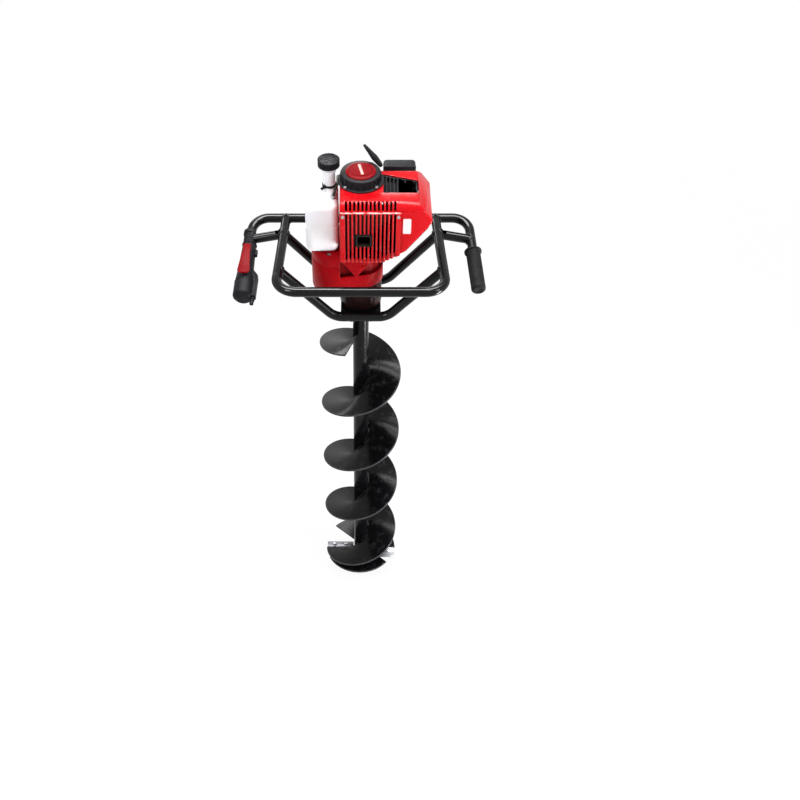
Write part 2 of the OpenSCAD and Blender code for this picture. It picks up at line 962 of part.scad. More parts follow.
module lower_crankcase() {
    color("#8b8d92")
        difference() {
            union() {
                translate([0, 0, engine_z])
                    cylinder(r = bell_r, h = 6);
                on_plate_bolts(ear_at)
                    translate([0, 0, engine_z])
                        cylinder(r = ear_r, h = 6);
                translate([0, 0, engine_z])
                    cylinder(r = crankcase_r, h = crankcase_h / 2 - 0.05);
                block([0, cyl_x], [-28, 28], [crank_z - 28, crank_z - 0.05]);
            }
            crankcase_hollow();
            on_plate_bolts(ear_at)
                translate([0, 0, engine_z - 1])
                    cylinder(r = 3.2, h = 8);
        }
}

module upper_crankcase() {
    color("#8b8d92")
        difference() {
            union() {
                translate([0, 0, crank_z + 0.05])
                    cylinder(r = crankcase_r, h = crankcase_h / 2 - 0.05);
                block([0, cyl_x], [-28, 28], [crank_z + 0.05, crank_z + 28]);
            }
            crankcase_hollow();
        }
}

module crankcase_hollow() {
    pocket = cavity_half + mid_bearing[2] + 1;
    translate([0, 0, crank_z - cavity_half])
        cylinder(r = cavity_r, h = 2 * cavity_half);
    translate([0, 0, crank_z - pocket])
        cylinder(d = mid_bearing[1], h = 2 * pocket);
    translate([0, 0, engine_z - 1])
        cylinder(r = 11, h = crankcase_h + 2);
    translate([0, 0, crank_z])
        rotate([0, 90, 0])
            cylinder(r = bore_d / 2 + 2.6, h = cyl_x + 1);
    // Flat face for the cylinder, above the base flange
    block([cyl_x, 2 * cyl_x], [-crankcase_r, crankcase_r], [engine_z + 6, crankcase_top + 1]);
}

module crankshaft() {
    color("#85888f") {
        translate([0, 0, crank_low])
            cylinder(r = crank_r, h = crank_z - web_gap / 2 - web_t - crank_low + eps);
        for (z = [crank_z - web_gap / 2 - web_t, crank_z + web_gap / 2])
            translate([0, 0, z])
                cylinder(r = web_r, h = web_t);
        translate([throw, 0, crank_z - web_gap / 2 - eps])
            cylinder(r = crankpin_r, h = web_gap + 2 * eps);
        translate([0, 0, crank_z + web_gap / 2 + web_t - eps])
            cylinder(r = crank_r, h = crank_high - crank_z - web_gap / 2 - web_t);
        translate([0, 0, crank_low])
            cylinder(r = 10, h = shoe_h + 2);
        translate([-30, -spider_w / 2, shoe_z])
            cube([60, spider_w, shoe_h]);
    }
}

module connecting_rod() {
    saddle_r = throw + crankpin_r + 0.7;
    rod_h = web_gap - 6;
    wrist_x = throw + rod_len;
    color("#9a9da3")
        difference() {
            union() {
                block([saddle_r - 8, wrist_x], [-6, 6], [crank_z - rod_h / 2, crank_z + rod_h / 2]);
                block([saddle_r - 8, saddle_r + 6], [-13, 13], [crank_z - rod_h / 2, crank_z + rod_h / 2]);
                translate([wrist_x, 0, crank_z - rod_h / 2])
                    cylinder(r = 9, h = rod_h);
            }
            translate([0, 0, crank_z - 30])
                cylinder(r = saddle_r, h = 60);
            translate([wrist_x, 0, crank_z - 30])
                cylinder(r = wrist_r + fit, h = 60);
        }
}

module piston() {
    crown_x = throw + rod_len + crown_up;
    piston_r = bore_d / 2 - 0.1;
    color("#b6b8bc")
        difference() {
            translate([crown_x - piston_len, 0, crank_z])
                rotate([0, 90, 0])
                    cylinder(r = piston_r, h = piston_len);
            translate([crown_x - piston_len - 1, 0, crank_z])
                rotate([0, 90, 0])
                    cylinder(r = piston_r - 3, h = piston_len - 4);
            translate([throw + rod_len, 0, crank_z - 40])
                cylinder(r = wrist_r + fit, h = 80);
        }
}

module wrist_pin() {
    half = bore_d / 2 - 4;
    color("#c3c5c9")
        translate([throw + rod_len, 0, crank_z - half])
            ring(wrist_r, 3, 2 * half);
}

// Local +Z runs out along the tilted spark plug
module on_plug() {
    translate([head_x - 4, 0, crank_z])
        rotate([0, 90 - plug_tilt, 0])
            children();
}

module cylinder_bores() {
    translate([cyl_x - 1, 0, crank_z])
        rotate([0, 90, 0])
            cylinder(r = bore_d / 2, h = head_x - cyl_x - 7);
    on_plug()
        translate([0, 0, -12])
            cylinder(r = 5 + fit, h = 40);
    for (s = [-1, 1])
        translate([port_x, 0, crank_z])
            rotate([s * 90, 0, 0])
                cylinder(r = port_bore, h = 80);
}

module cylinder_fins() {
    fin_pitch = (head_x - cyl_x - 16) / (fin_count - 1);
    for (i = [0 : fin_count - 1])
        translate([cyl_x + 16 - fin_t + i * fin_pitch, 0, crank_z])
            rotate([0, 90, 0])
                cylinder(r = fin_d / 2, h = fin_t);
}

module finned_cylinder() {
    color("#a9abb0")
        difference() {
            union() {
                translate([cyl_x + 0.05, 0, crank_z])
                    rotate([0, 90, 0])
                        cylinder(r = liner_r, h = head_x - cyl_x - 0.05);
                block([cyl_x + 0.05, cyl_x + 7], [-28, 28], [crank_z - 28, crank_z + 28]);
                cylinder_fins();
                on_plug()
                    cylinder(r = 10, h = plug_seat);
                for (s = [-1, 1])
                    translate([port_x, 0, crank_z])
                        rotate([s * 90, 0, 0])
                            cylinder(r = port_r, h = port_face);
            }
            cylinder_bores();
        }
}

module spark_plug() {
    color("#d9d6cc")
        on_plug()
            union() {
                translate([0, 0, -6])
                    cylinder(r = 5, h = plug_seat + 7);
                translate([0, 0, plug_seat + eps])
                    cylinder(r = 9, h = 7, $fn = 6);
                cylinder(r = 4.5, h = plug_seat + 19);
            }
}

module plug_cap() {
    color("#1a1a1c")
        on_plug()
            translate([0, 0, plug_seat + 7.5])
                difference() {
                    cylinder(r = 8, h = 20);
                    translate([0, 0, -1])
                        cylinder(r = 4.5 + fit, h = 13);
                }
}

module flywheel() {
    color("#9ea1a6")
        difference() {
            union() {
                translate([0, 0, flywheel_z])
                    cylinder(r = flywheel_r, h = 8);
                translate([0, 0, flywheel_z - 4])
                    cylinder(r = 14, h = hub_h);
                for (i = [0 : blade_count - 1])
                    rotate(360 / blade_count * i)
                        translate([12, -1.5, flywheel_z + 7])
                            cube([flywheel_r - 14, 3, fan_h]);
            }
            translate([0, 0, flywheel_z - 10])
                cylinder(r = crank_r + fit, h = hub_h + 20);
        }
}

// Starter

pull_dir = [cos(pull_lift) * cos(pull_turn), cos(pull_lift) * sin(pull_turn), sin(pull_lift)];
rope_exit = [starter_r * cos(pull_turn), starter_r * sin(pull_turn), exit_z];
grip_mid = rope_exit + pull_dir * grip_out;

// Back edge of the cooling window at x
function window_back(x) = window_y[1] - window_skew * (x - window_x[0]) / (window_x[1] - window_x[0]);

// Ribbed duct under the cooling window
module window_duct() {
    low = shroud_top - 16;
    near = starter_r - 1;
    pitch = (duct_end - window_x[0]) / duct_ribs;
    difference() {
        translate([0, 0, low])
            linear_extrude(shroud_top - shroud_wall - 0.05 - low)
                polygon([[near, window_y[0] + 0.5], [duct_end, window_y[0] + 0.5],
                         [duct_end, window_back(duct_end) - 0.5], [near, window_back(near) - 0.5]]);
        for (i = [0 : duct_ribs - 1]) {
            end = window_x[0] + (i + 0.6) * pitch;
            block([window_x[0] + i * pitch, end], [window_y[0] + 3, window_back(end) - 3.5],
                  [low + 2, shroud_top]);
        }
    }
}

module starter_housing() {
    color("#17181a")
        difference() {
            union() {
                window_duct();
                translate([0, 0, starter_low])
                    cylinder(r = starter_r, h = starter_top - starter_low);
                translate([0, 0, shroud_top + 0.05])
                    cylinder(r = starter_r + 7.5, h = 3);
            }
            difference() {
                translate([0, 0, starter_low - 1])
                    cylinder(r = starter_r - 2.5, h = starter_top - starter_low - 2);
                translate([0, 0, reel_z - 3])
                    cylinder(r = 5, h = 80);
            }
            rod(rope_exit - pull_dir * 12, rope_exit + pull_dir * 20, rope_r + 0.3);
            on_plate_bolts(starter_r + 4)
                translate([0, 0, shroud_top - 1])
                    cylinder(r = 2 + fit, h = 8);
        }
}

module starter_cap() {
    cap_in = starter_r - 10;
    color("#c4202a")
        translate([0, 0, starter_top + eps])
            rotate_extrude()
                polygon([[0, 0], [cap_in, 0], [cap_in - 0.5, 2.5], [cap_in - 5, 4.5], [0, 5.5]]);
}

module starter_reel() {
    color("#2b2c30")
        translate([0, 0, reel_z])
            difference() {
                union() {
                    cylinder(r = 18, h = reel_h);
                    cylinder(r = 36, h = 2);
                    translate([0, 0, reel_h - 2])
                        cylinder(r = 36, h = 2);
                    translate([0, 0, 3])
                        cylinder(r = 28, h = reel_h - 6);
                }
                translate([0, 0, -1])
                    cylinder(r = 5 + run, h = reel_h + 2);
            }
}

module starter_grip() {
    color("#141416")
        translate(grip_mid)
            rotate([0, 0, pull_turn])
                rotate([-48, 0, 0])
                    union() {
                        rotate_extrude()
                            polygon([[0, -24], [3.5, -23], [6, -12], [7, 0], [5.5, 16], [3, 35], [1.5, 37],
                                     [0, 37]]);
                        rotate([48, 0, 0])
                            rotate([0, 90 - pull_lift, 0])
                                translate([0, 0, -10])
                                    cylinder(r = 4.5, h = 10);
                    }
}

module starter_rope() {
    color("#d8d4c8")
        rod(rope_exit - pull_dir * 9, grip_mid - pull_dir * 10.05, rope_r);
}

module engine_screws() {
    color("#8d9096") {
        on_plate_bolts(starter_r + 4)
            translate([0, 0, shroud_top + 3.06])
                union() {
                    cylinder(r = 3.5, h = 2.5);
                    translate([0, 0, -7])
                        cylinder(r = 2, h = 7.5);
                }
        for (x = [guard_x[0] + 5, guard_x[1] - 5])
            translate([x, -shroud_front - guard_out - 0.01, guard_z[1] - 8])
                rotate([-90, 0, 0])
                    union() {
                        translate([0, 0, -2.5])
                            cylinder(r = 3.5, h = 2.5);
                        cylinder(r = 2, h = 12);
                    }
    }
}

// Shroud and exhaust

module shroud_outline(inset) {
    h = shroud_top - shroud_low;
    offset(delta = -inset)
        offset(r = shroud_round)
            offset(delta = -shroud_round)
                polygon([[-shroud_left, 0], [47, 0], [96, 26], [shroud_right - 7, 91], [shroud_right, 104],
                         [shroud_right, h - 40], [shroud_right - 30, h], [-shroud_left, h]]);
}

module shroud_prism(inset, y_front, y_back) {
    translate([0, y_back, shroud_low])
        rotate([90, 0, 0])
            linear_extrude(y_back + y_front)
                shroud_outline(inset);
}

// Hood with a rounded top edge at the front and a bevelled one at the back
module shroud_form(inset, y_front, y_back) {
    r = front_round - inset;
    bevel = (rear_bevel - 0.6 * inset) * sqrt(2);
    top = shroud_top - inset;
    wide = 2 * shroud_right;
    difference() {
        shroud_prism(inset, y_front, y_back);
        difference() {
            block([-wide, wide], [-y_front - 1, r - y_front], [top - r, top + 1]);
            rod([-wide - 1, r - y_front, top - r], [wide + 1, r - y_front, top - r], r);
        }
        translate([0, y_back, top])
            rotate([45, 0, 0])
                cube([2 * wide, bevel, bevel], center = true);
    }
}

// Left edge of slot i in the guard and in the louvres above it
function slot_x(i) = guard_x[0] + slot_margin + (i + 0.5) * slot_pitch - slot_w / 2;

module shroud() {
    w = shroud_wall;
    color("#c4202a")
        difference() {
            shroud_form(0, shroud_front, shroud_back);
            shroud_form(w, shroud_front - w, shroud_back - w);
            // Open underside, higher under the cylinder
            block([-shroud_left - 1, 200], [w - shroud_front, shroud_back + 1], [shroud_low - 1, skirt_z]);
            block([cyl_x + 6, 200], [w - shroud_front, shroud_back + 1], [shroud_low - 1, hood_z]);
            // Louvres over the rounded edge
            for (i = [0 : slot_count - 1])
                block([slot_x(i), slot_x(i) + slot_w], [-shroud_front - 1, louvre_y],
                      [guard_z[1] + 1.5, shroud_top + 1]);
            // Opening behind the muffler guard
            guard_prism(8, -shroud_front - 1, w + 1 - shroud_front, guard_rim);
            // Starter opening and cooling window
            translate([0, 0, shroud_top - 10])
                cylinder(r = starter_r + 0.5, h = 30);
            translate([0, 0, shroud_top - 40])
                linear_extrude(50)
                    polygon([[window_x[0], window_y[0]], [window_x[1], window_y[0]],
                             [window_x[1], window_back(window_x[1])], [window_x[0], window_y[1]]]);
            // Screw holes
            on_plate_bolts(starter_r + 4)
                translate([0, 0, shroud_top - 10])
                    cylinder(r = 2 + fit, h = 20);
            for (x = [guard_x[0] + 5, guard_x[1] - 5])
                translate([x, -shroud_front - 5, guard_z[1] - 8])
                    rotate([-90, 0, 0])
                        cylinder(r = 2 + fit, h = 20);
        }
}

module muffler() {
    t = 1.5;
    color("#2a2624")
        difference() {
            union() {
                guard_prism(6, muffler_y[0], muffler_y[1]);
                block([outlet_x - outlet_w / 2, outlet_x + outlet_w / 2],
                      [-shroud_front - guard_out - 2, muffler_y[0] + 1],
                      [outlet_z - outlet_h / 2, outlet_z + outlet_h / 2]);
            }
            guard_prism(6 + t, muffler_y[0] + t, muffler_y[1] - t, 12 + t);
            block([outlet_x - outlet_w / 2 + 3, outlet_x + outlet_w / 2 - 3],
                  [-2 * shroud_front, muffler_y[0] + 5],
                  [outlet_z - outlet_h / 2 + 3, outlet_z + outlet_h / 2 - 3]);
            translate([port_x, muffler_y[1] + 1, crank_z])
                rotate([90, 0, 0])
                    cylinder(r = port_bore, h = 5);
        }
}

// Front outline of the muffler guard, inset and between two depths
module guard_prism(inset, y_front, y_back, top = 12) {
    translate([0, y_back, 0])
        rotate([90, 0, 0])
            linear_extrude(y_back - y_front)
                polygon([[guard_x[0] + inset, guard_z[0] + inset], [47 - inset, guard_z[0] + inset],
                         [guard_x[1] - inset, guard_z[0] + 20 + inset],
                         [guard_x[1] - inset, guard_z[1] - top],
                         [guard_x[0] + inset, guard_z[1] - top]]);
}

module muffler_guard() {
    front = -shroud_front - guard_out;
    color("#c8202a")
        difference() {
            guard_prism(0, front, -shroud_front - fit, 0);
            guard_prism(8, front + 2.5, 0, guard_rim);
            for (i = [0 : slot_count - 1])
                block([slot_x(i), slot_x(i) + slot_w], [front - 1, front + guard_out - 2],
                      [guard_z[0] - 1, guard_z[1] - 0.5 * guard_rim]);
            block([outlet_x - outlet_w / 2 - 2, outlet_x + outlet_w / 2 + 2], [front - 1, 0],
                  [outlet_z - outlet_h / 2 - 2, outlet_z + outlet_h / 2 + 2]);
            for (x = [guard_x[0] + 5, guard_x[1] - 5])
                translate([x, front - 5, guard_z[1] - 8])
                    rotate([-90, 0, 0])
                        cylinder(r = 2 + fit, h = 20);
        }
}

// Intake

module carb_insulator() {
    color("#2f2a26")
        difference() {
            block([port_x - 18, port_x + 18], [port_face + 0.05, carb_y[0] - 0.05], [crank_z - 18, crank_z + 18]);
            translate([port_x, 0, crank_z])
                rotate([-90, 0, 0])
                    cylinder(r = port_bore, h = 100);
        }
}

module carburettor() {
    color("#9c9fa4")
        difference() {
            union() {
                block([port_x - 18, port_x + 18], carb_y, [crank_z - 16, crank_z + 16]);
                translate([port_x, 75, crank_z - 26])
                    cylinder(r = 13, h = 46);
                translate([port_x - 30, 75, crank_z + 4])
                    rotate([0, 90, 0])
                        cylinder(r = hose_r - 0.7, h = 20);
            }
            translate([port_x, 0, crank_z])
                rotate([-90, 0, 0])
                    cylinder(r = port_bore, h = 120);
        }
}

module filter_base() {
    color("#1b1c1f")
        difference() {
            block(filter_x, base_y, filter_z);
            translate([port_x, 0, crank_z])
                rotate([-90, 0, 0])
                    cylinder(r = port_bore, h = 120);
        }
}

module choke_lever() {
    color("#c9c9c4")
        translate([filter_x[0] - 0.05, 94.5, crank_z + 38])
            union() {
                rotate([0, -90, 0])
                    cylinder(r = 6, h = 3);
                translate([-3, -3, 0])
                    cube([3, 6, 22]);
            }
}

module filter_element() {
    color("#3a3a3c")
        block([filter_x[0] + 5, filter_x[1] - 5], [cover_y[0] + 0.1, cover_y[0] + 16],
              [filter_z[0] + 5, filter_z[1] - 5]);
}

module filter_cover() {
    color("#191a1c")
        difference() {
            block(filter_x, cover_y, filter_z);
            block([filter_x[0] + 3, filter_x[1] - 3], [cover_y[0] - 1, cover_y[1] - 3],
                  [filter_z[0] + 3, filter_z[1] - 3]);
        }
}

// Fuel

module rounded_slab(w, l, h, r) {
    for (sx = [-1, 1], sy = [-1, 1])
        translate([sx * (w / 2 - r), sy * (l / 2 - r), 0])
            cylinder(r = r, h = h);
    translate([-w / 2 + r, -l / 2, 0])
        cube([w - 2 * r, l, h]);
    translate([-w / 2, -l / 2 + r, 0])
        cube([w, l - 2 * r, h]);
}

module fuel_tank() {
    t = tank_wall;
    color("#e9e9e6")
        difference() {
            union() {
                translate([tank_x, tank_y, tank_z])
                    rounded_slab(tank_w, tank_l, tank_h, 16);
                translate([neck_x, neck_y, tank_top - 1])
                    cylinder(r = neck_r, h = neck_top - tank_top + 1);
            }
            translate([tank_x, tank_y, tank_z + t])
                rounded_slab(tank_w - 2 * t, tank_l - 2 * t, tank_h - 2 * t, 16 - t);
            translate([neck_x, neck_y, tank_top - 10])
                cylinder(r = neck_r - t, h = 100);
        }
}

module fuel_cap() {
    color("#1a1a1c")
        difference() {
            translate([neck_x, neck_y, cap_z])
                cylinder(r = cap_r, h = cap_h);
            translate([neck_x, neck_y, cap_z - 1])
                cylinder(r = neck_r + 0.3, h = neck_top - cap_z + 1.05);
        }
}

hose_pts = [[-58, -22, tank_top + 0.05], [-58, -22, tank_top + 14], [-50.4, 10, tank_top + 14],
            [-50.4, 60, tank_top + 4], [-20, 75, crank_z + 30], [port_x - 60, 75, crank_z + 4],
            [port_x - 22, 75, crank_z + 4]];

module fuel_hose() {
    color("#5d6a58")
        difference() {
            bent_bar(hose_pts, hose_r, hose_bend);
            rod([port_x - 31, 75, crank_z + 4], [port_x, 75, crank_z + 4], hose_r - 0.65);
        }
}

// Bit

module helix_plate(turns, start, z, pitch) {
    r_in = bit_tube_r + flight_gap;
    t = flight_t;
    n = ceil(turns * 360 / flight_step);
    ring_at = function (i, r, dz)
        let (a = start + turns * 360 * i / n)
        [r * cos(a), r * sin(a), z + dz + pitch * turns * i / n];
    pts = [for (i = [0 : n]) each [ring_at(i, r_in, 0), ring_at(i, bit_r, 0),
                                   ring_at(i, bit_r, t), ring_at(i, r_in, t)]];
    sides = [for (i = [0 : n - 1], k = [0 : 3])
        let (a = 4 * i + k, b = 4 * i + (k + 1) % 4)
        each [[a, a + 4, b], [b, a + 4, b + 4]]];
    polyhedron(pts, concat([[0, 1, 2], [0, 2, 3], [4 * n, 4 * n + 2, 4 * n + 1],
                            [4 * n, 4 * n + 3, 4 * n + 2]], sides));
}

module bit_tube() {
    color("#191a1c")
        difference() {
            translate([0, 0, pilot_top + 0.05])
                cylinder(r = bit_tube_r, h = bit_top - pilot_top - 0.05);
            translate([0, 0, pilot_top - 1])
                cylinder(r = bit_tube_r - bit_tube_wall, h = bit_top - socket_len - pilot_top + 1);
            translate([0, 0, pilot_top])
                cylinder(r = output_r + run, h = bit_top);
            translate([-30, 0, pin_z])
                rotate([0, 90, 0])
                    cylinder(r = pin_r + fit, h = 60);
        }
}

module main_flight() {
    color("#1a1b1d")
        helix_plate(flight_turns, lead_angle, lead_z, flight_pitch);
}

module lower_flight() {
    color("#1a1b1d")
        for (plate = [lower_front, lower_back])
            helix_plate(plate[1] / 360, lead_angle + plate[0], lead_z + plate[2], plate[3]);
}

module blade() {
    translate([-bit_r + 2, flight_gap, lead_z])
        rotate([-blade_tilt, 0, 0])
            rotate([90, 0, 90])
                linear_extrude(blade_l)
                    polygon([[0, 0], [blade_w - 6, 0], [blade_w, 1.5], [blade_w - 9, blade_t], [0, blade_t]]);
}

module cutter_blades() {
    color("#c9cbcf") {
        blade();
        rotate(180)
            blade();
    }
}

module hitch_pin() {
    reach = bit_tube_r + 14;
    color("#b9bbc0")
        translate([-bit_tube_r - 6, 0, pin_z])
            rotate([0, 90, 0])
                union() {
                    cylinder(r = pin_r, h = bit_tube_r + 6 + reach);
                    cylinder(r = pin_r + 3, h = 5);
                    translate([0, 0, 2 * bit_tube_r + 7])
                        cylinder(r = pin_r + 3, h = 6, $fn = 6);
                }
}

module pilot_tip() {
    plug_r = bit_tube_r - bit_tube_wall - fit;
    color("#8d9096")
        rotate_extrude()
            polygon([[0, 0], [2, 0], [bit_tube_r, pilot_top], [plug_r, pilot_top],
                     [plug_r, pilot_top + pilot_plug], [0, pilot_top + pilot_plug]]);
}

handlebar();
guard_hoop();
front_cradle();
rear_cradle();
side_braces();
mount_plate();
right_grip();
throttle_body_inner();
throttle_body_outer();
throttle_trigger();
safety_lever();
stop_switch();
gearbox_bolts();
bottom_housing();
shaft_seal();
gear_case();
clutch_housing();
bearings();
output_shaft();
output_gear();
layshaft();
layshaft_gear();
input_pinion();
clutch_drum();
clutch_shoe_front();
clutch_shoe_back();
lower_crankcase();
upper_crankcase();
crankshaft();
connecting_rod();
piston();
wrist_pin();
finned_cylinder();  // cylinder
spark_plug();
plug_cap();
flywheel();
shroud();
muffler();
muffler_guard();
carb_insulator();
carburettor();
choke_lever();
filter_base();
filter_element();
filter_cover();
starter_housing();
starter_cap();
starter_reel();
starter_grip();
starter_rope();
engine_screws();
fuel_tank();
fuel_cap();
fuel_hose();
bit_tube();
main_flight();
lower_flight();
cutter_blades();
pilot_tip();
hitch_pin();
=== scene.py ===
import json
import math
import bpy
from mathutils import Matrix, Vector


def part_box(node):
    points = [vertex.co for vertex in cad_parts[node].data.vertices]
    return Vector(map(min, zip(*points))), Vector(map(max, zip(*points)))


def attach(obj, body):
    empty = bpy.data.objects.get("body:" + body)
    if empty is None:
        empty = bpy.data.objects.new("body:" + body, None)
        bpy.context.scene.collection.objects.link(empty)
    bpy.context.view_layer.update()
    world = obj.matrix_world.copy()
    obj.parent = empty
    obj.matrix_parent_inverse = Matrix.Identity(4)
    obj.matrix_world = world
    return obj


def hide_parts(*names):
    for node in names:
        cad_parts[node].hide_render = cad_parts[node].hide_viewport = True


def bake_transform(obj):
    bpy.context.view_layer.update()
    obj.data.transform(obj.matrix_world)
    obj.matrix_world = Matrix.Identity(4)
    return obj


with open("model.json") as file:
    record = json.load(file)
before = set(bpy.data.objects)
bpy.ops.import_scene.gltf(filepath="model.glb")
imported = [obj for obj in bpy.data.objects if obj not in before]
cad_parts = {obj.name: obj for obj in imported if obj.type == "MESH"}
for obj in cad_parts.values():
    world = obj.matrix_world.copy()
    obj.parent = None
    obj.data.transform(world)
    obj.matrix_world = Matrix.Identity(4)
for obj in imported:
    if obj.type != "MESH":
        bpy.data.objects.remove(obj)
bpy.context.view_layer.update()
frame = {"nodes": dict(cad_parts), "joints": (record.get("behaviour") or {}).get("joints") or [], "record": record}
nodes = frame["nodes"]
rides = {node: body for body, group in frame["record"]["behaviour"]["bodies"].items() for node in group}
slots = {entry["node"]: entry["material_slot"] for entry in frame["record"]["subparts"]}
pullAxis = next(joint["axis"] for joint in frame["joints"] if joint["name"] == "starter_pull")
mm = 0.001  # pieces are described in millimetres and degrees
print("frame loaded:", len(nodes), "nodes")


def boxOf(node):
    return [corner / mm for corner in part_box(node)]


def moved(x, y, z):
    return Matrix.Translation(Vector((x, y, z)) * mm)


def turnAbout(axis, degrees):
    return Matrix.Rotation(math.radians(degrees), 4, axis)


def deselectAll():
    if bpy.context.mode != "OBJECT":
        bpy.ops.object.mode_set(mode="OBJECT")
    bpy.ops.object.select_all(action="DESELECT")


def pick(piece):
    deselectAll()
    piece.select_set(True)
    bpy.context.view_layer.objects.active = piece


def editAll(piece):
    pick(piece)
    bpy.ops.object.mode_set(mode="EDIT")
    bpy.ops.mesh.select_all(action="SELECT")


def selectOnly(piece, kind, test):
    # edit mode, with only those points, edges or faces selected that pass the test
    editAll(piece)
    bpy.ops.mesh.select_mode(type=kind)
    bpy.ops.mesh.select_all(action="DESELECT")
    bpy.ops.object.mode_set(mode="OBJECT")
    mesh = piece.data
    for item in {"VERT": mesh.vertices, "EDGE": mesh.edges, "FACE": mesh.polygons}[kind]:
        item.select = test(item)
    bpy.ops.object.mode_set(mode="EDIT")


def selectCorners(piece, test):
    # edges that really turn a corner, at the places the test allows
    nearlyFlat = 0.85  # cosine between the two faces
    sides = {}
    for face in piece.data.polygons:
        for key in face.edge_keys:
            sides.setdefault(key, []).append(face.normal.copy())

    def turnsCorner(edge):
        pair = sides[tuple(sorted(edge.vertices))]
        ends = [piece.data.vertices[i].co for i in edge.vertices]
        return len(pair) == 2 and pair[0].dot(pair[1]) < nearlyFlat and test(*ends)

    selectOnly(piece, "EDGE", turnsCorner)


def addModifier(piece, kind, **values):
    pick(piece)
    modifier = piece.modifiers.new(kind.lower(), kind)
    for key, value in values.items():
        setattr(modifier, key, value)
    bpy.ops.object.modifier_apply(modifier=modifier.name)


def bakePlace(piece, place):
    pick(piece)
    piece.matrix_world = place
    bpy.ops.object.transform_apply(location=True, rotation=True, scale=True)


def closeUp(piece):
    editAll(piece)
    bpy.ops.mesh.remove_doubles(threshold=0.002 * mm)
    bpy.ops.mesh.delete_loose()
    bpy.ops.mesh.select_all(action="SELECT")
    bpy.ops.mesh.normals_make_consistent(inside=False)
    bpy.ops.object.mode_set(mode="OBJECT")


def finishPiece(piece, name, body, finish, stands=(), smooth=35):
    pick(piece)
    bpy.ops.object.shade_smooth_by_angle(angle=math.radians(smooth))
    piece.name = name
    piece.data.name = name
    piece.data.materials.clear()
    piece.data.materials.append(finish)
    if body:
        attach(piece, body)
    if stands:
        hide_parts(*stands)


def wear(piece, name, node, smooth=35):
    # a piece that takes the place, body and finish of one CAD node
    finish = ownFinish.get(node, finishes[slots[node]])
    finishPiece(piece, name, rides[node], finish, [node], smooth)


def addOn(piece, name, body, slot, smooth=35):
    # a small piece that stands on the CAD nodes and replaces none
    finishPiece(piece, name, body, finishes[slot], (), smooth)


def joinAll(parts):
    deselectAll()
    for part in parts:
        part.select_set(True)
    bpy.context.view_layer.objects.active = parts[0]
    bpy.ops.object.join()
    return parts[0]


def turned(profile, place, steps):
    # lathe work: a ring of points becomes the profile, which is spun about Z
    deselectAll()
    bpy.ops.mesh.primitive_circle_add(vertices=len(profile), radius=0.01)
    piece = bpy.context.object
    for point, (radius, height) in zip(piece.data.vertices, profile):
        point.co = (radius * mm, 0, height * mm)
    editAll(piece)
    bpy.ops.mesh.spin(steps=steps, angle=2 * math.pi, center=(0, 0, 0), axis=(0, 0, 1))
    closeUp(piece)
    bakePlace(piece, place)
    return piece


def slab(outline, depth, place):
    # a flat outline, filled and drawn out along its own Z
    deselectAll()
    bpy.ops.mesh.primitive_circle_add(vertices=len(outline), radius=0.01, fill_type="NGON")
    piece = bpy.context.object
    for point, (x, y) in zip(piece.data.vertices, outline):
        point.co = (x * mm, y * mm, 0)
    editAll(piece)
    bpy.ops.mesh.extrude_region_move(TRANSFORM_OT_translate={"value": (0, 0, depth * mm)})
    closeUp(piece)
    bakePlace(piece, place)
    return piece


def roundRect(low, high, radius, steps=6):
    outline = []
    corners = [(high[0] - radius, high[1] - radius), (low[0] + radius, high[1] - radius),
               (low[0] + radius, low[1] + radius), (high[0] - radius, low[1] + radius)]
    for quarter, (x, y) in enumerate(corners):
        for i in range(steps + 1):
            turn = math.pi / 2 * (quarter + i / steps)
            outline.append((x + radius * math.cos(turn), y + radius * math.sin(turn)))
    return outline


def boxPiece(low, high, edge, segments=3):
    # a block between two corners, with rounded edges where a radius is given
    deselectAll()
    low, high = Vector(low) * mm, Vector(high) * mm
    bpy.ops.mesh.primitive_cube_add(size=1, location=(low + high) / 2)
    piece = bpy.context.object
    piece.scale = high - low
    bpy.ops.object.transform_apply(location=True, rotation=True, scale=True)
    if edge:
        editAll(piece)
        bpy.ops.mesh.bevel(offset=edge * mm, segments=segments, affect="EDGES")
        bpy.ops.object.mode_set(mode="OBJECT")
    return piece


def cut(piece, cutters):
    for cutter in cutters:
        addModifier(piece, "BOOLEAN", operation="DIFFERENCE", object=cutter, solver="EXACT")
        bpy.data.objects.remove(cutter)


def capEnds(piece):
    editAll(piece)
    bpy.ops.mesh.select_all(action="DESELECT")
    bpy.ops.mesh.select_mode(type="EDGE")
    bpy.ops.mesh.select_non_manifold()
    bpy.ops.mesh.fill_holes(sides=0)
    bpy.ops.object.mode_set(mode="OBJECT")


